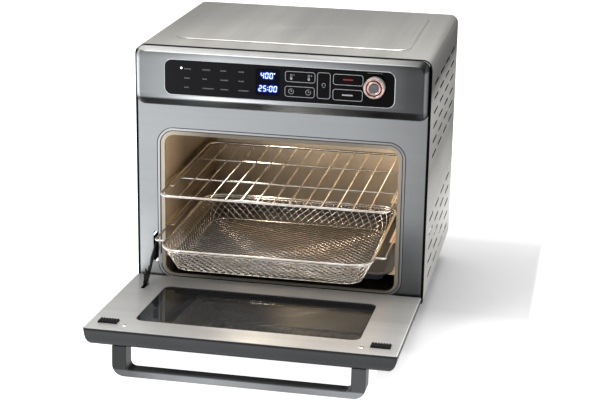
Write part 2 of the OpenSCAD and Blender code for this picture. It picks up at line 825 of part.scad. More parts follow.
module control_bezel() {
    color([0.5, 0.51, 0.52]) in_body() difference() {
        bezel_solid(0);
        bezel_solid(bezel_t);
        translate([0, 1, 0]) intersection() {
            bezel_solid(bezel_t);
            translate([-body_w, -3, 0]) cube([2*body_w, 4, 2*body_h]);
        }
        along_y(-bezel_d - 1, glass_back + fit) round_rect(-glass_x - fit, glass_x + fit,
            glass_z - glass_h/2 - fit, glass_z + glass_h/2 + fit, glass_r + fit);
        along_y(-bezel_d - 1, 0) round_rect(-glass_x + 3, glass_x - 3,
            glass_z - glass_h/2 + 3, glass_z + glass_h/2 - 3, glass_r - 3);
    }
}

module control_glass() {
    color([0.03, 0.03, 0.04]) in_body() difference() {
        along_y(glass_front, glass_back)
            round_rect(-glass_x, glass_x, glass_z - glass_h/2, glass_z + glass_h/2, glass_r);
        translate([knob_x, -bezel_d - 5, knob_z]) rotate([-90, 0, 0]) cylinder(d = knob_shaft_d + 1, h = 10);
    }
}

module display_module() {
    color([0.05, 0.05, 0.3]) in_body() translate([display_x - display_w/2, glass_back + fit, glass_z - display_h/2])
        cube([display_w, 5, display_h]);
}

module control_board() {
    color([0.1, 0.3, 0.18]) in_body() {
        difference() {
            translate([-glass_x + 8, glass_back + 5.6, glass_z - glass_h/2 + 6])
                cube([2*glass_x - 16, 1.6, glass_h - 12]);
            translate([knob_x, 0, knob_z]) rotate([90, 0, 0]) cylinder(d = 8, h = 20);
        }
        for (x = [-glass_x + 14, 60, 90]) translate([x, glass_back + 7.1, glass_z - 12]) cube([8, 1.6, 10]);
        for (x = [-glass_x + 12, glass_x - 12], z = [-14, 14])
            translate([x, -fit, glass_z + z]) rotate([90, 0, 0]) cylinder(d = 5, h = -glass_back - 7.2 - fit + 0.2);
    }
}

module encoder() {
    color([0.4, 0.4, 0.42]) in_body() translate([knob_x, glass_back, knob_z]) difference() {
        translate([-6.5, 0.8, -6.5]) cube([13, 4.8, 13]);
        rotate([-90, 0, 0]) cylinder(r = knob_shaft_d/2 + run_fit, h = 12);
    }
}

module knob_body() {
    color([0.75, 0.68, 0.64]) in_body() translate([knob_x, glass_front - 0.4, knob_z]) rotate([90, 0, 0]) difference() {
        union() {
            cylinder(d = knob_d, h = knob_l - 1.5);
            translate([0, 0, knob_l - 1.6]) cylinder(d1 = knob_d, d2 = knob_d - 3, h = 1.6);
            translate([0, 0, -shaft_end + glass_front + 0.4]) cylinder(d = knob_shaft_d, h = shaft_end - glass_front);
        }
        translate([0, 0, knob_l - 1.2]) cylinder(d = knob_cap_d, h = 4);
    }
}

module knob_cap() {
    color([0.3, 0.3, 0.31]) in_body() translate([knob_x, glass_front - 0.4, knob_z]) rotate([90, 0, 0])
        translate([0, 0, knob_l - 1.2]) cylinder(d = knob_cap_d - 0.1, h = 1);
}

// ---- hinge brackets on the base ----

module hinge_bracket(s) {
    color([0.4, 0.4, 0.42]) in_body() difference() {
        along_x(s*bracket_x - bracket_w/2, s*bracket_x + bracket_w/2) {
            translate([-hinge_out, hinge_up]) circle(eye_r);
            translate([-hinge_out - 4, -base_hang + 0.5]) square([8, hinge_up + base_hang - 0.5]);
            translate([-hinge_out - 4, -base_hang + 0.5]) square([base_y0 + hinge_out + 4, base_hang - 3.7]);
        }
        translate([s*bracket_x - 10, -hinge_out, hinge_up]) rotate([0, 90, 0]) cylinder(r = pin_d/2 + run_fit, h = 20);
    }
}

module hinge_bracket_left() { hinge_bracket(-1); }
module hinge_bracket_right() { hinge_bracket(1); }

// ---- door, drawn closed about its hinge axis ----

module door_outline(inset) {
    round_rect(-body_w/2 + inset, body_w/2 - inset, -hinge_edge + inset, door_top - inset, door_corner_r - inset);
}

module door_profile() {
    difference() {
        translate([-door_out, -hinge_edge]) square([door_out + panel_y, door_l]);
        for (z = [-hinge_edge, door_top]) translate([-door_out, z]) difference() {
            square([2*door_r, 2*door_r], center = true);
            translate([door_r, z > 0 ? -door_r : door_r]) circle(door_r);
        }
    }
}

module hinge_notch(s) {
    w = bracket_w/2 + 0.8;
    along_x(s*bracket_x - w, s*bracket_x + w) {
        circle(eye_r + 0.6);
        translate([-door_out - 1, -hinge_edge - 1]) square([door_out + 1, hinge_edge + 1]);
        translate([-eye_r - 0.6, -hinge_edge - 1]) square([2*eye_r + 1.2, hinge_edge + 1]);
        translate([-door_out - 1, -eye_r - 0.6]) square([door_out + 1, 2*eye_r + 2]);
    }
}

module arm_slot_outline(grow) {
    x = cheek_end + fit + grow;
    round_rect(arm_x - x, arm_x + x, arm_s - 7.5 - grow, arm_s + 18 + grow, 1.5);
}

module door_frame() {
    color([0.3, 0.31, 0.32]) on_door() difference() {
        intersection() {
            along_x(-body_w/2, body_w/2) door_profile();
            along_y(-door_out - 1, hinge_in) door_outline(0);
        }
        along_y(-door_out - 1, hinge_in) round_rect(-win_x, win_x, win_low, win_top, win_r);
        // seats of the two glasses
        along_y(panel_y - pane_t - fit, hinge_in) round_rect(-win_x - seat_w, win_x + seat_w,
            win_low - seat_w, win_top + seat_w, win_r + seat_w);
        along_y(-door_out - 1, -door_out + pane_t + 1) round_rect(-win_x - seat_w, win_x + seat_w,
            win_low - seat_w, win_top + seat_w, win_r + seat_w);
        for (s = [-1, 1]) hinge_notch(s);
        // room for the hinge arm
        along_y(-6, hinge_in) arm_slot_outline(1.2);
        for (s = [-1, 1]) {
            translate([s*bracket_x - pin_l/2, 0, 0]) rotate([0, 90, 0]) cylinder(d = pin_d, h = pin_l);
            translate([s*screw_x, -door_out - 1, screw_s]) rotate([-90, 0, 0])
                cylinder(d = handle_screw_d + 0.6, h = door_t + 2);
        }
    }
}

module door_inner_panel() {
    color([0.72, 0.71, 0.69]) on_door() difference() {
        along_y(panel_y, hinge_in) difference() {
            door_outline(panel_in);
            round_rect(-win_x, win_x, win_low, win_top, win_r);
            arm_slot_outline(0);
            for (s = [-1, 1]) translate([s*screw_x, screw_s]) circle(d = handle_screw_d + 0.6);
        }
    }
}

module inner_glass() {
    color([0.25, 0.27, 0.28, 0.5]) on_door() along_y(panel_y - pane_t, panel_y)
        round_rect(-win_x - seat_w + fit, win_x + seat_w - fit, win_low - seat_w + fit, win_top + seat_w - fit,
            win_r + seat_w - fit);
}

module outer_glass() {
    color([0.05, 0.05, 0.06, 0.6]) on_door() along_y(-door_out + 1, -door_out + 1 + pane_t)
        round_rect(-win_x - seat_w + fit, win_x + seat_w - fit, win_low - seat_w + fit, win_top + seat_w - fit,
            win_r + seat_w - fit);
}

module window_trim() {
    color("silver") on_door() along_y(-door_out - 0.2, -door_out + 1) difference() {
        round_rect(-win_x - seat_w + fit, win_x + seat_w - fit, win_low - seat_w + fit, win_top + seat_w - fit,
            win_r + seat_w - fit);
        round_rect(-win_x - seat_w + trim_w, win_x + seat_w - trim_w, win_low - seat_w + trim_w,
            win_top + seat_w - trim_w, win_r + seat_w - trim_w);
    }
}

// outline of the handle in the X-Y plane of the closed door
module handle_outline() {
    difference() {
        union() {
            translate([-handle_x, -bar_front + handle_r]) square([2*handle_x, bar_front - door_out - handle_r]);
            translate([-handle_x + handle_r, -bar_front]) square([2*handle_x - 2*handle_r, handle_r + 1]);
            for (s = [-1, 1]) translate([s*(handle_x - handle_r), -bar_front + handle_r]) circle(handle_r);
        }
        translate([-handle_x + leg_w, -bar_front + bar_t + handle_ri])
            square([2*(handle_x - leg_w), handle_out]);
        translate([-handle_x + leg_w + handle_ri, -bar_front + bar_t])
            square([2*(handle_x - leg_w - handle_ri), handle_ri + 1]);
        for (s = [-1, 1]) translate([s*(handle_x - leg_w - handle_ri), -bar_front + bar_t + handle_ri])
            circle(handle_ri);
    }
}

module handle() {
    color([0.29, 0.3, 0.31]) on_door() difference() {
        translate([0, 0, handle_top - handle_w]) linear_extrude(handle_w) handle_outline();
        for (s = [-1, 1]) translate([s*screw_x, -door_out - 14, screw_s]) rotate([-90, 0, 0])
            cylinder(d = handle_screw_d, h = 20);
    }
}

module handle_screws() {
    color("silver") on_door() for (s = [-1, 1]) translate([s*screw_x, hinge_in, screw_s]) rotate([-90, 0, 0]) {
        intersection() {
            translate([0, 0, -5.2]) sphere(r = 6.5);
            cylinder(d = 8, h = 3);
        }
        translate([0, 0, -door_t - 14]) cylinder(d = handle_screw_d, h = door_t + 14.1);
    }
}

module bumper(s) {
    color([0.06, 0.06, 0.06]) on_door() translate([s*(body_w/2 - bumper_in), hinge_in, door_top - bumper_edge]) {
        translate([-bumper_l/2, 0, -bumper_w/2]) cube([bumper_l, bumper_h - 1, bumper_w]);
        for (k = [0:bumper_ribs - 1])
            translate([-bumper_l/2 + (k + 0.2)*bumper_l/bumper_ribs, 0, -bumper_w/2])
                cube([0.6*bumper_l/bumper_ribs, bumper_h, bumper_w]);
    }
}

module bumper_left() { bumper(-1); }
module bumper_right() { bumper(1); }

module hinge_pins() {
    color("silver") on_door() for (s = [-1, 1]) translate([s*bracket_x - pin_l/2, 0, 0])
        rotate([0, 90, 0]) cylinder(d = pin_d, h = pin_l);
}

module arm_bracket() {
    color([0.15, 0.15, 0.16]) on_door() difference() {
        for (s = [-1, 1]) along_x(arm_x + s*cheek_x - cheek_t/2, arm_x + s*cheek_x + cheek_t/2) {
            translate([arm_y, arm_s]) circle(arm_pin_d/2 + 2);
            translate([-6, arm_s - arm_pin_d/2 - 2]) square([arm_y + 6, arm_pin_d + 4]);
        }
        translate([arm_x - 5, arm_y, arm_s]) rotate([0, 90, 0]) cylinder(d = arm_pin_d, h = 10);
    }
}

module arm_pin() {
    color("silver") on_door() translate([arm_x - cheek_end, arm_y, arm_s]) rotate([0, 90, 0])
        cylinder(d = arm_pin_d, h = 2*cheek_end);
}

// point on the arm, along and across its rest direction
function arm_point(a, b) = [a*cos(arm_angle) - (b + 3.5)*sin(arm_angle), a*sin(arm_angle) + (b + 3.5)*cos(arm_angle)];

// the arm lies in its rest direction about the pin
module hinge_arm() {
    pin = [-hinge_out + arm_y*cos(door_open) - arm_s*sin(door_open),
        hinge_up + arm_y*sin(door_open) + arm_s*cos(door_open)];
    color([0.12, 0.12, 0.13]) in_body() difference() {
        along_x(arm_x - arm_t/2, arm_x + arm_t/2) translate(pin) {
            polygon(concat([[-4, -3], [-7, 6], [-7.5, 15], [-3.5, 13.5], [0, 20], [4, 14.5], [10, 13.5],
                [17.5, 18.5], [20, 14.5]], [for (q = [[36, 1], [arm_l, 0.6], [arm_l + 4, 0], [arm_l, -1], [40, -1]])
                arm_point(q[0], q[1]*arm_hw)], [[13, 2], [4, -4]]));
            circle(arm_pin_d/2 + 2.4);
        }
        translate([arm_x - 5, pin[0], pin[1]]) rotate([0, 90, 0]) cylinder(r = arm_pin_d/2 + run_fit, h = 10);
    }
}

// ---- loose ware ----

module baking_pan() {
    y0 = front_gap;
    color([0.23, 0.24, 0.25]) in_body() translate([0, y0, pan_z]) difference() {
        union() {
            translate([0, 0, -pan_t]) linear_extrude(pan_t) round_rect(-pan_x, pan_x, 0, pan_l, pan_r);
            translate([0, 0, -pan_depth]) linear_extrude(pan_depth)
                round_rect(-pan_x + pan_rim, pan_x - pan_rim, pan_rim, pan_l - pan_rim, pan_r - 4);
        }
        translate([0, 0, -pan_depth + pan_t]) linear_extrude(pan_depth)
            round_rect(-pan_x + pan_rim + pan_t, pan_x - pan_rim - pan_t, pan_rim + pan_t, pan_l - pan_rim - pan_t,
                pan_r - 4 - pan_t);
    }
}

// one end of the tapered tub at a given inset
module tub_slice(z, inset) {
    translate([0, 0, z]) linear_extrude(0.01)
        round_rect(-basket_x + inset, basket_x - inset, inset, basket_l - inset, basket_r - inset/2, $fn = 32);
}

module basket_tub() {
    k = basket_taper;
    w = basket_wire/2 + 0.03;
    color([0.75, 0.74, 0.72]) in_body() translate([0, basket_home - basket_out, basket_z]) difference() {
        hull() { tub_slice(-w, 0); tub_slice(-basket_depth, k); }
        hull() { tub_slice(-w + 0.5, mesh_t); tub_slice(-basket_depth + mesh_t, k + mesh_t); }
    }
}

module basket_frame() {
    color([0.8, 0.79, 0.77]) in_body() translate([0, basket_home - basket_out, basket_z]) {
        wire_loop(basket_x, 0, basket_l, basket_r, basket_wire);
        for (m = [0, 1]) mirror([m, 0, 0]) {
            translate([runner_x, runner_in + runner_r, 0]) rotate([-90, 0, 0])
                cylinder(d = runner_d, h = basket_l - 2*runner_in - 2*runner_r);
            for (e = [[runner_in, 270, runner_r], [basket_l - runner_in, 0, -runner_r]]) {
                translate([basket_x, e[0], 0]) rotate([0, 90, 0])
                    cylinder(d = runner_d, h = runner_x - basket_x - runner_r);
                translate([runner_x - runner_r, e[0] + e[2], 0]) rotate([0, 0, e[1]])
                    rotate_extrude(angle = 90) translate([runner_r, 0]) circle(d = runner_d);
            }
        }
    }
}

module rack_frame() {
    color([0.8, 0.79, 0.77]) in_body() translate([0, rack_home - rack_out, rack_z])
        wire_loop(rack_x - rack_wire/2, 0, rack_l, rack_r, rack_wire);
}

module rack_bars() {
    n = floor((rack_x - rack_r)/rack_pitch);
    lap = rack_wire/2;
    color([0.8, 0.79, 0.77]) in_body() translate([0, rack_home - rack_out, rack_z]) {
        for (k = [-n:n]) translate([k*rack_pitch, lap, 0]) rotate([-90, 0, 0])
            cylinder(d = rack_bar, h = rack_l - 2*lap);
        for (y = [rack_l*0.32, rack_l*0.68]) translate([-rack_x + 2*lap, y, (rack_bar - rack_wire)/2])
            rotate([0, 90, 0]) cylinder(d = rack_bar, h = 2*rack_x - 4*lap);
    }
}

module crumb_tray() {
    y0 = cav_y0 + 6;
    color([0.55, 0.55, 0.54]) in_body() translate([0, 0, floor_z + fit]) {
        difference() {
            translate([-tray_x, y0, 0]) cube([2*tray_x, tray_y1 - y0, tray_h]);
            translate([-tray_x + tray_t, y0 + tray_t, tray_t]) cube([2*(tray_x - tray_t), cav_y1 - y0 - 8, tray_h]);
            translate([-tray_x + tray_t, cav_y1 - 6, tray_t]) cube([2*(tray_x - tray_t), tray_y1 - cav_y1 + 5, tray_h]);
        }
    }
}

outer_casing();
rear_cover();
base_plate();
front_frame();
cavity_lip();
cavity_left_wall();
cavity_right_wall();
cavity_roof();
cavity_floor();
cavity_back();
left_rails();
right_rails();
fan_guard();
fan_housing();
fan_motor();
fan_wheel();
upper_element();
lower_elements();
element_insulators();
control_bezel();
control_glass();
display_module();
control_board();
encoder();
power_board();
oven_lamp();
lamp_lens();
temperature_probe();
thermal_cutoff();
door_switch();
foot_front_left();
foot_front_right();
foot_rear_left();
foot_rear_right();
foot_soles();
hinge_bracket_left();
hinge_bracket_right();
cord_gland();
cover_screws();
door_frame();
door_inner_panel();
inner_glass();
outer_glass();
window_trim();
handle();
handle_screws();
bumper_left();
bumper_right();
hinge_pins();
arm_bracket();
arm_pin();
hinge_arm();
baking_pan();
basket_tub();
basket_frame();
rack_frame();
rack_bars();
crumb_tray();
knob_body();
knob_cap();
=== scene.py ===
import math

import bmesh
import bpy
from mathutils import Matrix, Vector
from mathutils.geometry import tessellate_polygon


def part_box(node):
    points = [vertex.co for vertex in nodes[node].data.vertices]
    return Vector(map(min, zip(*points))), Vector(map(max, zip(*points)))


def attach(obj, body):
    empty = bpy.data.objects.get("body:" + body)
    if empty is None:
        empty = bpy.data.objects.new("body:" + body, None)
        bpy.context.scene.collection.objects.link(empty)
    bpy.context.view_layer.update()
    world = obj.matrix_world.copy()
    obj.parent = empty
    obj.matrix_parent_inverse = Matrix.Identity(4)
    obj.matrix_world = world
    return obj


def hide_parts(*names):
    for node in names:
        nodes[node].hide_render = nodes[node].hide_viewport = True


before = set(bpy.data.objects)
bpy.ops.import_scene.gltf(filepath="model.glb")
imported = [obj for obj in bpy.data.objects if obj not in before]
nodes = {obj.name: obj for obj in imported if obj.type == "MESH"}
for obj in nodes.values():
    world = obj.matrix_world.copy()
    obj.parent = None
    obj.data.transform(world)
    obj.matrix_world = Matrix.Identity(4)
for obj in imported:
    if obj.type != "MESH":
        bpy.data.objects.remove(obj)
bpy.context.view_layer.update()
mm = 0.001
print("frame loaded:", len(nodes), "nodes")

# where the oven's own planes lie in the frame
oven = {
    "frontY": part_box("front_frame")[0].y,
    "low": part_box("front_frame")[0].z,
    "rearY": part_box("outer_casing")[1].y,
    "halfWidth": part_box("outer_casing")[1].x,
    "top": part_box("outer_casing")[1].z,
    "panRim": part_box("baking_pan")[1].z,
    "tall": 0.336,
    "doorOpen": math.radians(87),
    "hingeOut": 10 * mm,
    "hingeUp": 4 * mm,
}
scene = bpy.context.scene


def ovenPoint(x, y, z):  # millimetres from the middle of the casing's lower front edge
    return Vector((x * mm, oven["frontY"] + y * mm, oven["low"] + z * mm))


def doorPlace():  # turns the closed door's own axes into the open door's
    hinge = Vector((0, oven["frontY"] - oven["hingeOut"], oven["low"] + oven["hingeUp"]))
    return Matrix.Translation(hinge) @ Matrix.Rotation(oven["doorOpen"], 4, "X")


# shader sums


class Flow:  # one output socket, so that shader sums read as sums
    def __init__(self, finish, socket):
        self.finish = finish
        self.socket = socket

    def calc(self, operation, first, second=None):
        return self.finish.add("ShaderNodeMath", {"operation": operation}, [first, second])

    def __add__(self, other):
        return self.calc("ADD", self, other)

    def __sub__(self, other):
        return self.calc("SUBTRACT", self, other)

    def __rsub__(self, other):
        return self.calc("SUBTRACT", other, self)

    def __mul__(self, other):
        return self.calc("MULTIPLY", self, other)

    def size(self):
        return self.calc("ABSOLUTE", self)

    def most(self, other):
        return self.calc("MAXIMUM", self, other)

    def remap(self, low, high, toLow=0.0, toHigh=1.0):
        return self.finish.add("ShaderNodeMapRange", {"clamp": True},
                               {"Value": self, "From Min": low, "From Max": high, "To Min": toLow, "To Max": toHigh})

    __radd__ = __add__
    __rmul__ = __mul__


class Wiring:  # adds nodes to a tree and reads them back as sums
    def __init__(self, tree):
        self.tree = tree

    def feed(self, socket, value):
        if isinstance(value, Flow):
            self.tree.links.new(value.socket, socket)
        elif value is not None:
            socket.default_value = value

    def add(self, kind, settings, inputs, output=0):
        node = self.tree.nodes.new(kind)
        for label, value in settings.items():
            if label == "stops":
                for index, (place, level) in enumerate(value):
                    stops = node.color_ramp.elements
                    stop = stops[index] if index < 2 else stops.new(place)
                    stop.position, stop.color = place, (level, level, level, 1)
            else:
                setattr(node, label, value)
        for label, value in (inputs.items() if isinstance(inputs, dict) else enumerate(inputs)):
            self.feed(node.inputs[label], value)
        return Flow(self, node.outputs[output])

    def mix(self, factor, first, second):
        return self.add("ShaderNodeMix", {"data_type": "RGBA"}, {0: factor, 6: rgb(first), 7: rgb(second)}, 2)

    def vary(self, factor, colour, low, high):  # a colour between two strengths of itself
        return self.mix(factor, shade(colour, low), shade(colour, high))

    def tint(self, colour, amount):  # darkens or lightens a colour by a varying amount
        return self.add("ShaderNodeMix", {"data_type": "RGBA", "blend_type": "MULTIPLY"},
                        {0: 1.0, 6: rgb(colour), 7: amount}, 2)


class Finish(Wiring):  # one material under construction
    def __init__(self, name, **fixed):
        self.material = bpy.data.materials.new(name)
        self.material.use_nodes = True
        super().__init__(self.material.node_tree)
        self.tree.nodes.clear()
        self.shader = self.tree.nodes.new("ShaderNodeBsdfPrincipled")
        output = self.tree.nodes.new("ShaderNodeOutputMaterial")
        self.tree.links.new(self.shader.outputs["BSDF"], output.inputs["Surface"])
        for label, value in fixed.items():
            self.set(label.replace("_", " "), value)

    def set(self, label, value):
        self.feed(self.shader.inputs[label], value)

    def made(self, colour, gloss):
        self.set("Base Color", colour)
        self.set("Roughness", gloss)
        return self.material

    def axis(self, label):  # the object's own metres
        place = self.add("ShaderNodeTexCoord", {}, {}, "Object")
        return self.add("ShaderNodeSeparateXYZ", {}, [place], label)

    def sideways(self, low, high, *to):  # from left to right
        return self.axis("X").remap(low, high, *to)

    def outward(self, low, high, *to):  # from the middle to both sides
        return self.axis("X").size().remap(low, high, *to)

    def rearward(self, low, high, *to):  # behind the front frame's face
        return self.axis("Y").remap(oven["frontY"] + low, oven["frontY"] + high, *to)

    def upward(self, low, high, *to):  # over the casing's lower edge
        return self.axis("Z").remap(oven["low"] + low, oven["low"] + high, *to)

    def ramp(self, value, stops):
        return self.add("ShaderNodeValToRGB", {"stops": stops}, {"Fac": value})

    def across(self, stops, half=0.2):  # levels from the left edge to the right one
        return self.ramp(self.sideways(-half, half), stops)

    def where(self, stretch):
        place = self.add("ShaderNodeTexCoord", {}, {}, "Object")
        return self.add("ShaderNodeMapping", {}, {"Vector": place, "Scale": stretch})

    def noise(self, scale, detail=2.0, stretch=(1, 1, 1)):
        return self.add("ShaderNodeTexNoise", {}, {"Vector": self.where(stretch), "Scale": scale, "Detail": detail})

    def cells(self, scale):
        return self.add("ShaderNodeTexVoronoi", {}, {"Vector": self.where((1, 1, 1)), "Scale": scale}, "Distance")

    def bump(self, height, depth, strength):
        inputs = {"Height": height, "Distance": depth, "Strength": strength}
        self.set("Normal", self.add("ShaderNodeBump", {}, inputs))


def rgb(colour):
    return colour if isinstance(colour, Flow) or len(colour) == 4 else (*colour, 1.0)


def shade(colour, factor):
    return tuple(min(1.0, c * factor) for c in colour)


# painted light and shade: how each piece's colour is lightened or darkened to stand in for light and shade; metres
# from its start to its end, then the level at both

frontShades = {
    "across": [(0.0, 0.74), (0.2, 0.7), (0.5, 0.62), (0.75, 0.56), (1.0, 0.38)],
    "foot": (0.12, 0.03), "footAcross": (-0.2, 0.2, 0.5, -0.25),
    "rightBorderShadow": (0.1973, 0.1978, 1.0, 0.02), "leftBorderShadow": (-0.1971, -0.1965, 0.02, 1.0),
    "seam": (0.00015, 0.0004, 1.0, 0.02),
    "bead": (-0.17, 0.17, 0.9, 0.42),
}


def frontPaintedLight(finish):  # painted light: lighter to the left, most of all near the foot
    at = frontShades
    foot = 1 + finish.upward(*at["foot"]) * finish.sideways(*at["footAcross"])
    return [finish.across(at["across"]), foot]


def frontPaintedShade(finish):  # painted shadow: black round the outside and inside the seam to the casing
    at = frontShades
    borderShadow = finish.sideways(*at["rightBorderShadow"]) * finish.sideways(*at["leftBorderShadow"])
    return [borderShadow, finish.rearward(*at["seam"])]


def beadPaintedLight(finish):  # painted light: the rolled edge is lightest at the left
    return [finish.sideways(*frontShades["bead"])]


bezelShades = {
    "across": [(0.0, 0.15), (0.009, 0.5), (0.015, 0.7), (0.0175, 1.5), (0.021, 1.5), (0.026, 0.44), (0.12, 0.58),
        (0.28, 0.96), (0.5, 0.78), (0.75, 0.36), (0.93, 0.11), (0.978, 0.095), (0.982, 0.06), (0.9855, 0.4),
        (0.99, 0.08)],
    "crest": [(0.0, 0.2), (0.02, 0.95), (0.1, 0.92), (0.35, 0.7), (0.5, 0.52), (0.72, 0.44), (0.88, 0.24),
        (0.955, 0.1), (0.97, 0.05)],
    "crestHighlight": (2.08, 2.0, 1.9),
    "strip": [(0.0, 0.35), (0.1, 0.5), (0.2, 0.72), (0.3, 0.85), (0.45, 0.6), (0.54, 0.42), (0.7, 0.3), (0.84, 0.31),
        (0.93, 0.5)],
    "bevel": [(0.1, 0.024), (0.165, 0.029), (0.44, 0.11), (0.5, 0.5), (0.56, 0.9), (0.7, 0.6), (0.84, 0.2)],
    "stripPower": 2, "bevelPower": 2.9,
    "chamferUp": (0.3303, 0.3313), "stripUp": (0.2738, 0.2722), "bevelUp": (0.2665, 0.2695),
    "rim": (-0.0016, -0.001, 1.0, 0.03), "side": (0.1966, 0.1974, 1.0, 0.05),
}


def bezelPaintedLight(finish):  # painted light at the left and a painted highlight along the top chamfer, painted shade at the right and on the lower bevel
    at = bezelShades
    chamfer, low = finish.upward(*at["chamferUp"]), finish.upward(*at["stripUp"])
    level = finish.mix(chamfer, finish.across(at["across"]), finish.across(at["crest"]))
    strip = 1 - low + low * finish.across(at["strip"]) * at["stripPower"]
    under = finish.across(at["bevel"]) * at["bevelPower"]
    bevel = finish.upward(*at["bevelUp"], under, 1.0)
    return [level, finish.mix(chamfer, (1, 1, 1), at["crestHighlight"]), strip, bevel]


def bezelPaintedShade(finish):  # painted shadow: the black line where it meets the front and the casing
    return [finish.rearward(*bezelShades["rim"]), finish.outward(*bezelShades["side"])]


casingShades = {
    "side": [(0.0, 0.9), (0.45, 0.85), (0.8, 0.7), (0.96, 0.6), (0.995, 1.0)],
    "mirror": [(0.0, 0.9), (0.1, 1.0), (0.28, 0.65), (0.353, 0.54), (0.522, 0.3), (0.6, 0.33), (0.763, 0.43),
        (0.83, 0.34), (0.877, 0.16), (0.96, 0.2), (0.98, 0.3), (0.995, 0.92), (1.0, 1.0)],
    "depth": (0.03, 0.3, 1.28, 0.92), "topFrontHighlight": (0.03, 0.16, 0.26, 0.0), "top": (0.985, 0.998),
    "left": (-0.18, -0.12, 0.76, 1.0),
    "shoulder": (0.955, 0.965), "edgeWide": (0.0112, 0.0072), "edgeShadow": (0.0, 0.0004, 0.02, 1.0),
    "inside": (0.1995, 0.1998, 0.02, 1.0),
}


def casingPaintedLight(finish):  # painted light and shade: the sides are a little duller than the top, which is brightest at the front under a painted highlight, and the far left is darker
    at = casingShades
    height = finish.upward(0, oven["tall"])
    paintedHighlight = height.remap(*at["top"]) * finish.rearward(*at["topFrontHighlight"])
    return [finish.ramp(height, at["side"]), finish.rearward(*at["depth"]) + paintedHighlight, finish.sideways(*at["left"])]


def casingPaintedShade(finish):  # painted shadow on the black front edge and painted shade on the black inside faces; painted reflection: the side sheets darken and lose their mirror towards the top
    at = casingShades
    height = finish.upward(0, oven["tall"])
    edge = height.remap(*at["shoulder"], *at["edgeWide"])
    strip = (finish.axis("Y") - oven["frontY"] - edge).remap(*at["edgeShadow"])
    inside = finish.outward(*at["inside"]).most(height.remap(*at["shoulder"]))
    return [finish.ramp(height, at["mirror"]), strip, inside]


cavityShades = {
    "left": (-0.165, -0.14), "leftDepth": (0.03, 0.12, 1.3, 0.55), "right": (0.05, 0.155, 1.0, 1.6),
    "outside": (0.1652, 0.1656, 1.0, 0.02),
    "lipLeft": (-0.164, -0.1, 0.85, 0.32), "lipRight": (0.1, 0.164, 1.0, 1.6),
    "lipMiddle": 0.1145, "straightX": 0.147, "straightZ": 0.0855, "line": (0.000346, 0.000365, 1.0, 0.12),
}


def cavityPaintedLight(finish):  # the left wall is in shade but for its front, the right one catches the lamp
    at = cavityShades
    front = finish.rearward(*at["leftDepth"])
    return [finish.sideways(*at["left"], front, 1.0), finish.sideways(*at["right"])]


def cavityPaintedShade(finish):  # painted shade: the walls' outer faces are black
    return [finish.outward(*cavityShades["outside"])]


def lipPaintedLight(finish):  # painted light at both sides, painted shade along the top, with a painted shadow line against the bead
    at = cavityShades
    up = finish.axis("Z") - (oven["low"] + at["lipMiddle"])
    outX = (finish.axis("X").size() - at["straightX"]).most(0.0)
    outZ = (up.size() - at["straightZ"]).most(0.0)
    return [finish.sideways(*at["lipLeft"]), finish.sideways(*at["lipRight"]),
            (outX * outX + outZ * outZ).remap(*at["line"])]


doorShades = {
    "depth": (-0.24, -0.02, 1.4, 0.95), "across": (-0.1, 0.2, 0.95, 1.2),
    "sideHemHighlight": (0.1976, 0.198, 1.0, 1.5), "frontHemHighlight": (-0.2413, -0.2409, 1.5, 1.0),
    "ends": (0.1955, 0.1985, 1.0, 0.14), "seam": (0.0034, 0.0044, 1.0, 0.12),
    "rim": (-0.013, 0.002, 0.68, 1.05), "rimRight": (0.0, 0.1, 1.0, 0.84),
}


def doorPaintedLight(finish):  # painted light: brightest near the handle and to the right, duller towards the hinge, with a painted highlight along the hem
    at = doorShades
    hem = finish.outward(*at["sideHemHighlight"]).most(finish.rearward(*at["frontHemHighlight"]))
    return [finish.rearward(*at["depth"]), finish.sideways(*at["across"]), hem]


def doorDepths(finish):  # how far out from the door's face and how far up the door, as if it were closed
    y = finish.axis("Y") - (oven["frontY"] - oven["hingeOut"])
    z = finish.axis("Z") - (oven["low"] + oven["hingeUp"])
    tilt = oven["doorOpen"]
    return z * math.sin(tilt) + y * math.cos(tilt), z * math.cos(tilt) - y * math.sin(tilt)


def rimPaintedLight(finish):  # painted shade: the door's ends are almost black, and so is the seam under the inner sheet as a painted shadow; the rim darkens towards the door's outer face and to the right
    at = doorShades
    out = doorDepths(finish)[0]
    rim = out.remap(*at["rim"])
    return [finish.outward(*at["ends"]), out.remap(*at["seam"]), rim, finish.sideways(*at["rimRight"])]


handleShades = {
    "face": [(0.0, 0.08), (0.45, 0.08), (0.86, 0.7), (0.93, 2.0), (0.975, 1.7), (0.99, 1.2)],
    "along": [(0.0, 0.38), (0.08, 0.42), (0.19, 0.82), (0.4, 1.0), (0.68, 0.66), (0.87, 0.88), (1.0, 0.88)],
    "faceUp": (0.2092, 0.2292), "faceOut": (-0.0541, -0.0537, 1.0, 0.1), "bar": (-0.047, -0.045, 1.6, 0.36),
    "half": 0.162, "power": 1.55, "legs": (0.1438, 0.1446, 0.22, 1.0), "legsOut": (-0.0455, -0.0445, 1.0, 0.0),
}


def handlePaintedLight(finish):  # painted shade: only the faces turned away from the door are grey, the inner ones are almost black; a painted highlight runs along the bar's upper front edge
    at = handleShades
    out, up = doorDepths(finish)
    face = finish.ramp(up.remap(*at["faceUp"]), at["face"])
    along = finish.across(at["along"], at["half"])
    legs = finish.outward(*at["legs"]).most(out.remap(*at["legsOut"]))
    return [face.most(out.remap(*at["faceOut"])), out.remap(*at["bar"]), along * at["power"], legs]


otherShades = {"panRim": (0.0016, 0.0006), "panRimHighlight": (1.0, 2.0), "glass": (-0.15, 0.12, 1.6, 0.2)}


def panPaintedLight(finish):  # the rolled rim catches the light
    low, high = (oven["panRim"] - down for down in otherShades["panRim"])
    return [finish.axis("Z").remap(low, high, *otherShades["panRimHighlight"])]


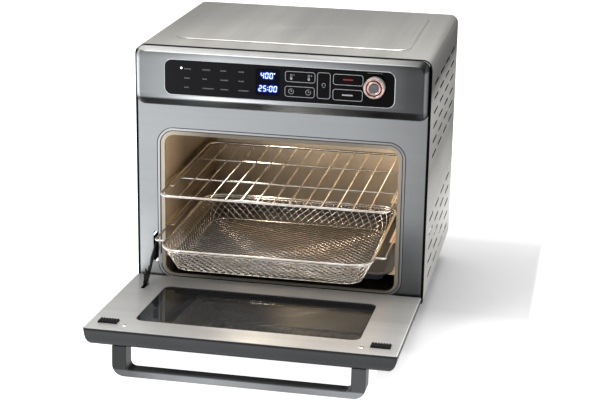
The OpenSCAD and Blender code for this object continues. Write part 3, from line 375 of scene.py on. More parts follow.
def panelPaintedLight(finish):  # painted reflection: the glass is a touch lighter at the left
    return [finish.sideways(*otherShades["glass"])]


# recipes for the finishes: noise scales are features in a metre, depths are metres

finishes = {}


def makeFinishes(recipe, looks):
    for name, look in looks.items():
        finishes[name] = recipe(name, **look)


def even(finish):  # nothing more varies over the piece
    return []


# applies a piece's painted light and shade to its colour
def withPaintedLight(finish, colour, paintedLight):
    for amount in paintedLight(finish):
        colour = finish.tint(colour, amount)
    return colour


def ripple(noise, amount):  # a noise's swing to both sides of nothing
    return (noise - 0.5) * amount


brushed = {"fine": (1100, 5), "streak": (176, 3), "band": (13.2, 1), "smear": 9.0, "depth": 0.00003}


def brushedSteel(name, colour, along, gloss, grain, bandDepth=0.06, metallic=1.0, specular=0.0, paintedLight=even,
                 masks=even):  # fine lines along one axis, faint smears, slightly uneven gloss
    finish = Finish(name, Specular_IOR_Level=specular, Anisotropic=0.3)

    def lines(label, detail=2.0):
        cross, length = brushed[label]
        return finish.noise(1.0, detail, tuple(length if axis == along else cross for axis in "XYZ"))

    fine, streak, band = lines("fine", 3.0), lines("streak"), lines("band")
    base = finish.vary((fine * 0.5 + streak * 0.5).remap(0.3, 0.7), colour, 1 - grain, 1 + grain)
    base = withPaintedLight(finish, finish.tint(base, band.remap(0.3, 0.7, 1 - bandDepth, 1.0)), paintedLight)
    for amount in masks(finish):  # painted shade: where the bare metal stands in shadow, its colour and mirror are darkened
        base, metallic = finish.tint(base, amount), amount * metallic
    finish.set("Metallic", metallic)
    finish.bump(fine, brushed["depth"], 0.5)
    smear = finish.noise(brushed["smear"], 3.0)
    return finish.made(base, gloss + ripple(fine, 0.22) + ripple(smear, 0.12))


makeFinishes(brushedSteel, {
    "casingSteel": {"colour": (0.52, 0.503, 0.467), "along": "Y", "gloss": 0.34, "grain": 0.05, "bandDepth": 0.3,
        "paintedLight": casingPaintedLight, "masks": casingPaintedShade},
    "frontSteel": {"colour": (0.385, 0.40, 0.412), "along": "X", "gloss": 0.33, "grain": 0.035, "paintedLight": frontPaintedLight,
        "masks": frontPaintedShade},
    "beadSteel": {"colour": (0.47, 0.48, 0.505), "along": "X", "gloss": 0.36, "grain": 0.03, "metallic": 0.8,
        "paintedLight": beadPaintedLight},
    "bezelSteel": {"colour": (0.42, 0.437, 0.45), "along": "X", "gloss": 0.30, "grain": 0.03, "paintedLight": bezelPaintedLight,
        "masks": bezelPaintedShade},
    "cavitySteel": {"colour": (0.64, 0.53, 0.395), "along": "Z", "gloss": 0.38, "grain": 0.06, "metallic": 0.75,
        "paintedLight": cavityPaintedLight, "masks": cavityPaintedShade},
    "lipSteel": {"colour": (0.52, 0.465, 0.38), "along": "Z", "gloss": 0.4, "grain": 0.06, "metallic": 0.5,
        "paintedLight": lipPaintedLight},
    "doorPanelSteel": {"colour": (0.45, 0.446, 0.435), "along": "X", "gloss": 0.36, "grain": 0.08, "bandDepth": 0.2,
        "metallic": 0.55, "specular": 0.4, "paintedLight": doorPaintedLight},
    "traySteel": {"colour": (0.4, 0.4, 0.393), "along": "X", "gloss": 0.38, "grain": 0.05},
})


def satinPaint(name, colour, gloss, metallic=0.0, specular=0.3, peel=1400.0, depth=0.00004, paintedLight=even):
    finish = Finish(name, Metallic=metallic, Specular_IOR_Level=specular)
    fine, broad = finish.noise(peel), finish.noise(14.0, 3.0)  # very fine orange peel, and dust on the gloss
    finish.bump(fine, depth, 0.35)
    base = withPaintedLight(finish, finish.vary(broad.remap(0.35, 0.65), colour, 0.93, 1.07), paintedLight)
    return finish.made(base, gloss + ripple(broad, 0.16) + ripple(fine, 0.08))


makeFinishes(satinPaint, {
    "coverZinc": {"colour": (0.30, 0.30, 0.31), "gloss": 0.5, "metallic": 0.6},
    "bracketZinc": {"colour": (0.24, 0.24, 0.25), "gloss": 0.42, "metallic": 0.7},
    "motorZinc": {"colour": (0.42, 0.42, 0.43), "gloss": 0.4, "metallic": 0.8},
    "doorFrameGrey": {"colour": (0.034, 0.0355, 0.038), "gloss": 0.4, "specular": 0.22, "paintedLight": rimPaintedLight},
    "handleGrey": {"colour": (0.075, 0.078, 0.082), "gloss": 0.36, "specular": 0.22, "paintedLight": handlePaintedLight},
    "armBlack": {"colour": (0.012, 0.012, 0.013), "gloss": 0.42, "metallic": 0.3, "specular": 0.3},
    "panNonStick": {"colour": (0.030, 0.034, 0.040), "gloss": 0.4, "peel": 900.0, "depth": 0.00006, "specular": 0.28,
        "paintedLight": panPaintedLight},
    "knobSteel": {"colour": (0.42, 0.42, 0.43), "gloss": 0.34, "metallic": 0.3, "specular": 0.5},
    "boardLaminate": {"colour": (0.03, 0.14, 0.06), "gloss": 0.4},
})


def mouldedPlastic(name, colour, gloss, specular=0.25, grain=900.0):  # spark-eroded grain
    finish = Finish(name, Specular_IOR_Level=specular)
    broad = finish.noise(22.0, 3.0)
    finish.bump(finish.cells(grain), 0.00006, 0.4)
    return finish.made(finish.vary(broad, colour, 0.85, 1.15), gloss + ripple(broad, 0.14))


makeFinishes(mouldedPlastic, {
    "blackPlastic": {"colour": (0.014, 0.014, 0.015), "gloss": 0.5},
    "bumperRubber": {"colour": (0.008, 0.008, 0.008), "gloss": 0.6, "grain": 1600.0, "specular": 0.15},
})


def polishedWire(name, colour, tint, gloss, patch=30.0):  # bright drawn wire with slight heat tint
    finish = Finish(name, Metallic=1.0)
    drawn, heat = finish.noise(600.0), finish.noise(patch, 3.0)
    finish.bump(drawn, 0.00002, 0.3)
    return finish.made(finish.mix(heat.remap(0.4, 0.7), colour, tint), gloss + ripple(drawn, 0.12))


makeFinishes(polishedWire, {
    "rackWire": {"colour": (0.72, 0.70, 0.67), "tint": (0.55, 0.50, 0.43), "gloss": 0.18},
    "basketMesh": {"colour": (0.80, 0.77, 0.72), "tint": (0.66, 0.57, 0.45), "gloss": 0.24, "patch": 60.0},
    "edgeSteel": {"colour": (0.5, 0.51, 0.53), "tint": (0.42, 0.43, 0.44), "gloss": 0.3},
    "brightSteel": {"colour": (0.80, 0.80, 0.79), "tint": (0.74, 0.73, 0.71), "gloss": 0.18},
    "knobRose": {"colour": (0.55, 0.37, 0.33), "tint": (0.30, 0.18, 0.16), "gloss": 0.1, "patch": 160.0},
    "knobDark": {"colour": (0.03, 0.022, 0.022), "tint": (0.05, 0.035, 0.035), "gloss": 0.4},
    "knobGrey": {"colour": (0.07, 0.077, 0.084), "tint": (0.10, 0.108, 0.115), "gloss": 0.35},
})


def heatedRod(name, colour, tint, gloss):  # sheath darkened unevenly by heat
    finish = Finish(name, Metallic=0.8)
    fine, burn = finish.noise(500.0), finish.noise(24.0, 4.0)
    finish.bump(fine, 0.00005, 0.5)
    return finish.made(finish.mix(burn.remap(0.35, 0.65), colour, tint), gloss + ripple(fine, 0.25))


makeFinishes(heatedRod, {
    "heaterSheath": {"colour": (0.12, 0.11, 0.10), "tint": (0.22, 0.17, 0.13), "gloss": 0.45},
})


def castCeramic(name, colour, gloss):  # fine specks under an uneven glaze
    finish = Finish(name, IOR=1.52)
    speck = finish.noise(700.0)
    finish.bump(speck, 0.00005, 0.5)
    return finish.made(finish.vary(speck.remap(0.3, 0.7), colour, 0.86, 1.0), gloss + ripple(finish.noise(40.0), 0.2))


makeFinishes(castCeramic, {
    "whiteCeramic": {"colour": (0.80, 0.78, 0.73), "gloss": 0.5},
})


def clearGlass(name, colour, clear, gloss, bend=1.5):  # a thin film on both faces
    finish = Finish(name, IOR=bend, Transmission_Weight=clear)
    film = finish.noise(16.0, 3.0)
    return finish.made(finish.vary(film, colour, 1.0, 1.15), gloss + film.remap(0.5, 0.8, 0.0, 0.05))


makeFinishes(clearGlass, {
    "windowGlass": {"colour": (0.16, 0.165, 0.17), "clear": 0.94, "gloss": 0.02, "bend": 1.22},
    "lampLens": {"colour": (0.95, 0.9, 0.78), "clear": 0.7, "gloss": 0.25},
})


def glossyPanel(name, colour, gloss, specular, paintedLight):  # black glass with finger marks
    finish = Finish(name, Specular_IOR_Level=specular)
    film = finish.noise(18.0, 3.0)
    base = withPaintedLight(finish, finish.vary(film, colour, 1.0, 1.6), paintedLight)
    return finish.made(base, gloss + film.remap(0.45, 0.8, 0.0, 0.1))


makeFinishes(glossyPanel, {
    "panelGlass": {"colour": (0.005, 0.005, 0.006), "gloss": 0.16, "specular": 0.035, "paintedLight": panelPaintedLight},
})


def litMark(name, colour, power):  # print or display segment
    finish = Finish(name, Emission_Strength=power, Specular_IOR_Level=0.04)
    grain = finish.noise(900.0)
    finish.set("Emission Color", finish.vary(grain, colour, 0.92, 1.0))
    return finish.made(finish.vary(grain, colour, 0.9, 1.0), 0.4 + ripple(grain, 0.1))


makeFinishes(litMark, {
    "panelPrint": {"colour": (0.34, 0.35, 0.36), "power": 0.2},
    "panelPrintDim": {"colour": (0.15, 0.15, 0.16), "power": 0.1},
    "panelPrintRed": {"colour": (0.26, 0.03, 0.025), "power": 0.1},
    "panelLamp": {"colour": (0.85, 0.9, 1.0), "power": 2.5},
    "digitLight": {"colour": (0.5, 0.62, 1.0), "power": 2.2},
    "digitHalo": {"colour": (0.01, 0.05, 0.85), "power": 0.7},
    "digitGlow": {"colour": (0.0012, 0.0012, 0.0035), "power": 0.05},
})

print("finishes made:", len(finishes))

# what each carried-over node is made of, and how far its edges are rounded, in millimetres
dressing = {
    "casingSteel": {"outer_casing": 0.25},
    "frontSteel": {"front_frame": 0.25},
    "bezelSteel": {"control_bezel": 0},
    "lipSteel": {"cavity_lip": 0.6},
    "cavitySteel": {"cavity_left_wall": 0, "cavity_right_wall": 0, "cavity_roof": 0, "cavity_floor": 0,
        "cavity_back": 0, "left_rails": 0.3, "right_rails": 0.3, "fan_guard": 0.25},
    "doorPanelSteel": {"door_inner_panel": 0},
    "traySteel": {"crumb_tray": 0.25, "fan_wheel": 0},
    "coverZinc": {"rear_cover": 0.2, "base_plate": 0.3},
    "bracketZinc": {"hinge_bracket_left": 0.4, "hinge_bracket_right": 0.4, "hinge_pins": 0, "window_trim": 0.25},
    "motorZinc": {"fan_housing": 0.4, "fan_motor": 0.8, "encoder": 0.2},
    "doorFrameGrey": {"door_frame": 0},
    "handleGrey": {"handle": 1.4},
    "armBlack": {"hinge_arm": 0.3, "arm_bracket": 0.3, "cover_screws": 0.2},
    "blackPlastic": {"foot_front_left": 0.8, "foot_front_right": 0.8, "foot_rear_left": 0.8, "foot_rear_right": 0.8,
        "cord_gland": 0.4, "thermal_cutoff": 0.3, "door_switch": 0.4},
    "bumperRubber": {"foot_soles": 0.6, "bumper_left": 0.35, "bumper_right": 0.35},
    "rackWire": {"rack_frame": 0, "rack_bars": 0, "basket_frame": 0},
    "brightSteel": {"handle_screws": 0, "arm_pin": 0.2, "temperature_probe": 0.2},
    "heaterSheath": {"upper_element": 0, "lower_elements": 0},
    "whiteCeramic": {"element_insulators": 0.3, "oven_lamp": 0.4},
    "windowGlass": {"inner_glass": 0.2, "outer_glass": 0.2},
    "lampLens": {"lamp_lens": 0.5},
    "boardLaminate": {"control_board": 0.1, "power_board": 0.3},
    "digitGlow": {"display_module": 0.3},
}


def dressNode(name, finish, edge):
    node = nodes[name]
    node.data.materials.clear()
    node.data.materials.append(finish)
    if edge:
        bevel = node.modifiers.new("edge", "BEVEL")
        bevel.width, bevel.segments = edge * mm, 2
        bevel.limit_method, bevel.angle_limit = "ANGLE", math.radians(40)
        bevel.use_clamp_overlap = True
        bevel.harden_normals = True


for label, members in dressing.items():
    for name, edge in members.items():
        dressNode(name, finishes[label], edge)
print("nodes dressed")

# mesh helpers: a form is a list of points and a list of faces


def placed(name, data):
    thing = bpy.data.objects.new(name, data)
    scene.collection.objects.link(thing)
    return thing


def makePiece(name, form, finish, body, smooth=True, place=None):
    mesh = bpy.data.meshes.new(name)
    verts, faces = form
    mesh.from_pydata([tuple(v) for v in verts], [], faces)
    if place is not None:
        mesh.transform(place)
    mesh.validate()
    mesh.update()
    mesh.materials.append(finishes[finish])
    mesh.shade_smooth() if smooth else mesh.shade_flat()
    piece = placed(name, mesh)
    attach(piece, body)
    return piece


def roundedRect(x0, x1, y0, y1, r, steps=10):  # corner points run anticlockwise from the lower right
    points = []
    for cx, cy, turn in ((x1 - r, y0 + r, -90), (x1 - r, y1 - r, 0), (x0 + r, y1 - r, 90), (x0 + r, y0 + r, 180)):
        for k in range(steps + 1):
            a = math.radians(turn + 90 * k / steps)
            points.append((cx + r * math.cos(a), cy + r * math.sin(a)))
    return points


def facing(outline, y):  # an outline's points at one depth of the oven
    return [ovenPoint(x, y, z) for x, z in outline]


def insetRect(box, inset, r, steps=10):
    x0, x1, y0, y1 = box
    return roundedRect(x0 + inset, x1 - inset, y0 + inset, y1 - inset, r, steps)


def ringFaces(count, around, closed=False, start=0):
    faces = []
    for k in range(count if closed else count - 1):
        a, b = start + k * around, start + ((k + 1) % count) * around
        for j in range(around):
            i = (j + 1) % around
            faces.append((a + j, a + i, b + i, b + j))
    return faces


def addRings(verts, faces, rings, closed=False):  # skins a pile of equal rings, and tells where their points went
    start, around = len(verts), len(rings[0])
    for ring in rings:
        verts += ring
    faces += ringFaces(len(rings), around, closed, start)
    return [list(range(start + k * around, start + (k + 1) * around)) for k in range(len(rings))]


def stack(rings, closed=False, caps=0):  # one pile of rings, open or with its last end or both ends filled
    verts, faces = [], []
    loops = addRings(verts, faces, rings, closed)
    return verts, faces + [tuple(loops[-1]), tuple(reversed(loops[0]))][:caps]


def sweepTube(path, radius, sides, closed=False):  # round wire along a path of points
    count = len(path)
    verts, side = [], None
    for k, point in enumerate(path):
        after = path[(k + 1) % count] if closed or k < count - 1 else point
        before = path[k - 1] if closed or k else point
        forward = (after - before).normalized()
        if side is None:
            side = forward.orthogonal().normalized()
        side = (side - forward * side.dot(forward)).normalized()
        up = forward.cross(side)
        for j in range(sides):
            a = 2 * math.pi * j / sides
            verts.append(point + radius * (math.cos(a) * side + math.sin(a) * up))
    faces = ringFaces(count, sides, closed)
    if not closed:
        faces += [tuple(reversed(range(sides))), tuple(range(len(verts) - sides, len(verts)))]
    return verts, faces


def gather(parts):  # joins several forms
    verts, faces = [], []
    for v, f in parts:
        shift = len(verts)
        verts += list(v)
        faces += [tuple(i + shift for i in face) for face in f]
    return verts, faces


def fillBetween(verts, outer, holes):  # triangles between an outline and its openings, all in one plane
    loops = [outer] + holes
    flat = [i for loop in loops for i in loop]
    triangles = tessellate_polygon([[Vector((verts[i][0], verts[i][2], 0)) for i in loop] for loop in loops])
    return [tuple(flat[k] for k in triangle) for triangle in triangles]


creaseAngle = math.radians(32)


def squareUp(piece):  # outward normals, crisp only where the surface really turns
    work = bmesh.new()
    work.from_mesh(piece.data)
    bmesh.ops.dissolve_degenerate(work, dist=1e-7, edges=work.edges)
    bmesh.ops.recalc_face_normals(work, faces=work.faces)
    work.to_mesh(piece.data)
    work.free()
    piece.data.shade_smooth()
    piece.data.set_sharp_from_angle(angle=creaseAngle)


# embossed step on the top sheet

topPanel = {"side": 39, "front": 55, "rear": 33, "radius": 20, "slope": 2.3, "height": 0.95, "steps": 8}


def buildTopStep():
    at = topPanel
    depth = (oven["rearY"] - oven["frontY"]) / mm
    half = oven["halfWidth"] / mm - at["side"]
    box = (-half, half, at["front"], depth - at["rear"])
    rings = []
    for k in range(at["steps"] + 1):
        t = k / at["steps"]
        out = at["slope"] * (1 - t)
        rise = at["height"] * (3 * t * t - 2 * t ** 3)
        z = oven["top"] - (at["height"] - rise) * mm
        rings.append([Vector((x * mm, oven["frontY"] + y * mm, z))
                      for x, y in insetRect(box, -out, at["radius"] + out)])
    makePiece("topStep", stack(rings), "casingSteel", "body")


buildTopStep()
print("top step built")

# rolled bead round the oven's mouth, with a painted shadow for its fold line: profiles of (outward, depth)

mouth = {
    "opening": (-167, 167, 9, 220), "radius": 20, "steps": 12,
    "bead": [(0.0, 0.4), (0.0, 0.0), (0.25, -0.2), (0.8, -0.28), (2.2, -0.28), (2.75, -0.2), (3.0, 0.05)],
    # painted shadow: a thin black ring stands in for the shade in the fold line
    "foldShadow": [(3.0, 0.02), (3.05, -0.05), (4.0, -0.05), (4.1, 0.02)],
}


def buildMouth():
    for name, profile, finish in (("mouthBead", "bead", "beadSteel"), ("mouthFoldShadow", "foldShadow", "bumperRubber")):
        rings = []
        for out, y in mouth[profile]:
            rings.append(facing(insetRect(mouth["opening"], -out, mouth["radius"] + out, mouth["steps"]), y))
        makePiece(name, stack(rings), finish, "body")


buildMouth()
print("mouth built")

# control bezel: a lofted shell with softly rounded corners; rings of (depth, side, crest, foot, radius)

bezel = {
    "half": 199, "low": 255, "top": 336, "face": -15,
    "rings": [(0.0, 0, 0, 0, 14), (-1.5, 0.7, 0.5, 0.4, 14), (-5, 2.3, 1.6, 1.4, 13.4), (-9, 4.2, 3.0, 3.2, 12.6),
        (-11.5, 5.4, 3.8, 7.4, 12), (-13.4, 6.3, 4.5, 11.0, 11.4), (-14.4, 6.8, 4.9, 12.9, 11),
        (-14.85, 7.3, 5.3, 13.9, 10.6), (-15, 8.1, 6.0, 14.7, 10)],
    "inside": [(-12.8, 8.3, 6.7, 10.8, 9), (-9, 6.4, 5.2, 4.2, 10), (0, 2.2, 2.2, 2.2, 12)],
    "opening": (-155.3, 155.3, 273.7, 322.3, 10.3), "openingDepths": (-15, -12.8),
}


def bezelRing(y, side, crest, foot, r):
    half = bezel["half"] - side
    return facing(roundedRect(-half, half, bezel["low"] + foot, bezel["top"] - crest, r), y)


def buildBezel():
    rings = [bezelRing(*ring) for ring in bezel["rings"]]
    rings += [facing(roundedRect(*bezel["opening"]), y) for y in bezel["openingDepths"]]
    rings += [bezelRing(*ring) for ring in bezel["inside"]]
    shell = makePiece("controlBezelShell", stack(rings, True), "bezelSteel", "body")
    squareUp(shell)
    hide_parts("control_bezel")


buildBezel()
print("bezel built")

# the door's pressed frame and inner sheet, in the closed door's own axes

door = {
    "half": 200, "low": -6.5, "top": 233, "outer": -15, "inner": 6.2, "sideDepths": (1.0, -3.0), "round": 8,
    "corner": 4, "cornerShare": 0.5, "leastCorner": 0.8,
    "roundSteps": (15, 30, 45, 60, 75, 90), "taper": 3, "flare": 7, "flareBend": 4.5,
    "window": (-146, 146, 38, 188, 12), "seat": (-154, 154, 30, 196, 20), "paneIn": 2.2, "paneOut": -11,
    "notch": (180, 4.8, 6.4), "pocket": (-178.5, -169.9, 31.9, 59.8), "pocketRound": 1.5, "pocketFloor": -6,
    "sheetIn": 1.5, "sheetFace": 7.0, "sheetCorner": 2.8, "sheetTaper": -0.7, "sheetPocket": 1.2,
    "sheetEdge": [(0.0, -0.8), (0.0, -0.35), (0.12, -0.1), (0.4, 0.0)],
}


def doorPoints(points, depth):
    return [Vector((x * mm, depth * mm, z * mm)) for x, z in points]


def doorRing(inset, depth, corner, notched, taper):
    half, low, top = door["half"] - inset - taper, door["low"] + inset, door["top"] - inset
    points = roundedRect(-half, half, low, top, max(corner, door["leastCorner"]), 6)
    if notched:
        spot, reach, height = door["notch"]
        for middle in (-spot, spot):
            left, right = middle - reach, middle + reach
            points += [(left, low), (left, height), (right, height), (right, low)]
    return doorPoints(points, depth)


def openingRing(label, level):
    return doorPoints(roundedRect(*door[label], 8), door[level])


def pocketRing(level, inset=0.0):
    return doorPoints(insetRect(door["pocket"], inset, door["pocketRound"], 3), door[level])


def finishDoorPiece(name, form, finish):
    piece = makePiece(name, form, finish, "door", place=doorPlace())
    squareUp(piece)
    return piece


def buildDoorFrame():
    verts, faces, rings = [], [], []
    levels = [(0.0, depth) for depth in (door["inner"], *door["sideDepths"], door["outer"] + door["round"])]
    for a in map(math.radians, door["roundSteps"]):
        levels.append((door["round"] * (1 - math.cos(a)), door["outer"] + door["round"] * (1 - math.sin(a))))
    for inset, depth in levels:
        under = (door["inner"] - depth) / (door["inner"] - door["outer"])
        taper = door["taper"] * under + door["flare"] * under ** door["flareBend"] - inset
        rings.append(doorRing(inset, depth, door["corner"] - inset * door["cornerShare"], True, taper))
    skin = addRings(verts, faces, rings)
    opening = [openingRing(*step) for step in (("seat", "outer"), ("seat", "paneOut"), ("window", "paneOut"),
                                               ("window", "paneIn"), ("seat", "paneIn"), ("seat", "inner"))]
    seat = addRings(verts, faces, opening)
    pocket = addRings(verts, faces, [pocketRing("inner"), pocketRing("pocketFloor")])
    faces.append(tuple(pocket[1]))
    faces += fillBetween(verts, skin[-1], [seat[0]]) + fillBetween(verts, skin[0], [seat[-1], pocket[0]])
    shell = finishDoorPiece("doorFrameShell", (verts, faces), "doorFrameGrey")
    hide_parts("door_frame")


def buildDoorSheet():
    verts, faces = [], []
    edge = addRings(verts, faces, [
        doorRing(inset + door["sheetIn"], door["sheetFace"] + back, door["sheetCorner"], False, door["sheetTaper"])
        for inset, back in door["sheetEdge"]])
    window = addRings(verts, faces, [openingRing("window", level) for level in ("sheetFace", "inner")])
    pocket = addRings(verts, faces, [pocketRing(level, door["sheetPocket"]) for level in ("sheetFace", "inner")])
    faces += fillBetween(verts, edge[-1], [window[0], pocket[0]])
    faces += fillBetween(verts, edge[0], [window[1], pocket[1]])
    sheet = finishDoorPiece("doorPanelSheet", (verts, faces), "doorPanelSteel")
    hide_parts("door_inner_panel")


buildDoorFrame()
buildDoorSheet()
print("door built")

# baking pan: profile of (inset, height under the rim)

bakingPan = {
    "radius": 20, "tighten": 0.8, "leastRadius": 5, "sheet": 0.7,
    "profile": [(0.6, -1.0), (0.1, -0.75), (0.0, -0.4), (0.5, -0.1), (1.4, 0.0), (2.6, -0.15), (4.0, -0.5),
        (7.6, -0.9), (9.2, -1.5), (10.4, -2.9), (11.2, -5.5), (12.0, -9.6), (12.8, -11.6), (14.4, -12.8),
        (17.0, -13.2), (40.0, -13.2), (90.0, -13.0)],
}


def buildPan():
    low, high = (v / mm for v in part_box("baking_pan"))
    box, rings = (low.x, high.x, low.y, high.y), []
    for inset, z in bakingPan["profile"]:
        r = max(bakingPan["radius"] - inset * bakingPan["tighten"], bakingPan["leastRadius"])
        rings.append([Vector((x, y, high.z + z)) * mm for x, y in insetRect(box, inset, r)])
    pan = makePiece("bakingPanShell", stack(rings, caps=1), "panNonStick", "pan")
    shell = pan.modifiers.new("sheet", "SOLIDIFY")
    shell.thickness, shell.offset = bakingPan["sheet"] * mm, -1
    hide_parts("baking_pan")


buildPan()
print("pan built")

# mesh basket: two families of crossing wires over the tapered tub

basket = {
    "cell": 10.4, "rowShare": 0.9, "wire": 0.4, "wireSides": 4, "taper": 15, "radius": 30, "hem": 0.9,
    "floorHem": 0.6, "hemSides": 6, "hemPoints": (120, 160), "cornerSteps": 12, "inset": 0.6, "floorUp": 0.5,
    "rimDown": 0.9, "weave": 0.25,
}


def evenly(points, count):  # points at even steps along a closed outline
    points = points + points[:1]
    lengths = [0.0]
    for a, b in zip(points, points[1:]):
        lengths.append(lengths[-1] + math.dist(a, b))
    out, k = [], 0
    for j in range(count):
        want = lengths[-1] * j / count
        while lengths[k + 1] < want:
            k += 1
        f = (want - lengths[k]) / max(lengths[k + 1] - lengths[k], 1e-9)
        (x0, y0), (x1, y1) = points[k], points[k + 1]
        out.append((x0 + f * (x1 - x0), y0 + f * (y1 - y0)))
    return out


def clipDiagonal(c, way, bx, by, br, steps=400):  # the stretch of y = way * x + c inside the rounded floor
    inside = []
    for k in range(steps + 1):
        x = -bx + 2 * bx * k / steps
        y = way * x + c
        dx, dy = max(abs(x) - (bx - br), 0), max(abs(y) - (by - br), 0)
        if abs(y) <= by and dx * dx + dy * dy <= br * br:
            inside.append((x, y))
    return (inside[0], inside[-1]) if len(inside) > 2 else None


def buildBasket():
    at = basket
    low, high = (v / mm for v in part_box("basket_tub"))
    middle = (low.y + high.y) / 2
    inset, floorZ = at["inset"], low.z + at["floorUp"]
    depth = high.z - low.z - inset
    bx, by = (high.x - low.x) / 2 - inset - at["taper"], (high.y - low.y) / 2 - inset - at["taper"]
    br = at["radius"] - at["taper"] / 2

    def outline(t, count):  # the tub's rounded rectangle at a share t of its height
        x, y, r = bx + at["taper"] * t, by + at["taper"] * t, br + (at["radius"] - br) * t
        return evenly(roundedRect(-x, x, middle - y, middle + y, r, at["cornerSteps"]), count)

    def wire(points):
        parts.append(sweepTube([Vector(p) * mm for p in points], at["wire"] * mm, at["wireSides"]))

    def hem(points, z, radius):
        parts.append(sweepTube([Vector((x, y, z)) * mm for x, y in points], radius * mm, at["hemSides"], True))

    parts = []
    count = int(4 * (bx + by) / at["cell"]) * 2
    levels = 4 * max(2, round(depth / (at["cell"] * at["rowShare"])))
    rings = [outline(k / levels, count) for k in range(levels + 1)]
    for start in range(0, count, 2):  # wall wires lean both ways
        for way in (1, -1):
            path = []
            for k in range(0, levels + 1, 2):
                a = (start + way * k / 2) % count
                i, f = int(a), a - int(a)
                p, q = rings[k][i % count], rings[k][(i + 1) % count]
                path.append((p[0] + f * (q[0] - p[0]), p[1] + f * (q[1] - p[1]), floorZ + depth * (k / levels)))
            wire(path)
    reach = bx + by
    for way in (1, -1):  # floor wires
        for k in range(int(2 * reach / at["cell"]) + 1):
            ends = clipDiagonal(-reach + (k + 0.5) * at["cell"], way, bx, by, br)
            if ends:
                (x0, y0), (x1, y1) = ends
                wire([(x0 + (x1 - x0) * f, middle + y0 + (y1 - y0) * f, floorZ + way * at["weave"])
                      for f in (0, 0.5, 1)])
    hem(outline(0, at["hemPoints"][0]), floorZ, at["hem"] * at["floorHem"])
    hem(outline(1, at["hemPoints"][1]), high.z - at["rimDown"], at["hem"])
    tub = makePiece("basketMesh", gather(parts), "basketMesh", "basket")
    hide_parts("basket_tub")


buildBasket()
print("basket built")

# control glass: profiles of (inset, depth behind its face)

panel = {
    "box": (-155, 155, 274, 322), "radius": 10, "proud": 0.6,
    "profile": [(0.0, 1.6), (0.0, 0.35), (0.12, 0.1), (0.4, 0.0), (2.0, 0.0), (12.0, 0.0)],
    "edge": [(-0.5, 0.5), (-0.3, 0.1), (0.2, -0.02), (0.6, 0.05)],
}
faceY = bezel["face"] - panel["proud"]


def panelRings(profile):
    return [facing(insetRect(panel["box"], inset, max(panel["radius"] - inset, 1.0)), faceY + back)
            for inset, back in profile]


# flat prints on the glass

ink = {"thick": 0.06, "sunk": 0.02}


def addPrint(name, form, finish):
    return makePiece(name, form, finish, "body", smooth=False)


def flatShape(points, lift=0.0, thick=ink["thick"]):  # a thin raised print
    count = len(points)
    verts = facing(points, faceY - (lift + thick)) + facing(points, faceY - (lift - ink["sunk"]))
    faces = [tuple(range(count))]
    faces += [(k, k + count, (k + 1) % count + count, (k + 1) % count) for k in range(count)]
    return verts, faces


def outlineShape(points, width, closed=True):  # a printed line of a given width
    verts, count = [], len(points)
    for k in range(count):
        a = Vector(points[k - 1]) if closed or k else Vector(points[k])
        b = Vector(points[(k + 1) % count]) if closed or k < count - 1 else Vector(points[k])
        side = (b - a).normalized().orthogonal() * width / 2
        p = Vector(points[k])
        verts += facing([p + side, p - side], faceY - ink["thick"])
    faces = []
    for k in range(count if closed else count - 1):
        i = (k + 1) % count
        faces.append((2 * k, 2 * k + 1, 2 * i + 1, 2 * i))
    return verts, faces


def arc(cx, cz, r, start, end, count):
    turns = [math.radians(start + (end - start) * k / count) for k in range(count + 1)]
    return [(cx + r * math.cos(a), cz + r * math.sin(a)) for a in turns]


def bar(x0, x1, z0, z1):
    return [(x0, z0), (x1, z0), (x1, z1), (x0, z1)]


def block(x, width, z, height):  # a filled bar from its lower left corner
    return flatShape(bar(x, x + width, z, z + height))


def buildGlass():
    glass = addPrint("controlGlassPane", stack(panelRings(panel["profile"]), caps=2), "panelGlass")
    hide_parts("control_glass")
    makePiece("glassEdge", stack(panelRings(panel["edge"])), "edgeSteel", "body")


# labels, touch areas and signs, in millimetres on the panel

marks = {
    "rows": [310.2, 297.6, 285.0], "columns": [-127.5, -102.5, -78, -53.5],
    "lengths": [[10, 12, 8, 8], [8, 7, 12, 9], [6.5, 15.5, 12, 14.5]], "letter": 1.0, "space": 1.55, "height": 1.5,
    "buttons": [(9.6, 49.2, 301.4, 315.2), (9.3, 48.6, 281.4, 295.2), (52.5, 69.5, 281.4, 316.0),
        (73.6, 112.8, 301.4, 315.4), (73.4, 112.4, 280.8, 295.2)], "round": 3.2, "line": 0.55,
    "stems": [(16.6, 18.4, 305.5, 311.6), (40.1, 41.9, 305.5, 311.6)], "stemRound": 0.8, "stemLine": 0.4,
    "bulbs": [(17.5, 305.6, 1.5, 0, 350, 14), (41.0, 305.6, 1.5, 0, 350, 14)],
    "dials": [(17.5, 288.4, 3.4, 60, 400, 20), (40.5, 288.4, 3.4, 60, 390, 20), (61, 299.6, 2.3, -60, 240, 18)],
    "dialLine": 0.45,
    "strokes": [(19.9, 2.0, 310.4, 0.5), (43.4, 2.0, 310.4, 0.5), (44.15, 0.5, 309.65, 2.0), (17.25, 0.5, 288.2, 2.4),
        (17.4, 1.8, 288.0, 0.5), (40.25, 0.5, 288.2, 2.4), (40.4, 1.8, 288.0, 0.5), (59.9, 2.2, 296.2, 0.5)],
    "redWord": (86.6, 2.7, 5, 2.2, 307.6, 1.8), "greyWord": (85.6, 2.9, 5, 2.4, 287.0, 1.8),
    "note": (118.5, 3.4, 6, 2.5, 319.0, 0.6), "lamp": (-131.7, 311, 1.35, 0, 345, 23), "lampThick": 0.12,
}


def dashes(x, step, count, width, z, height):  # a row of small plain blocks
    return [block(x + k * step, width, z, height) for k in range(count)]


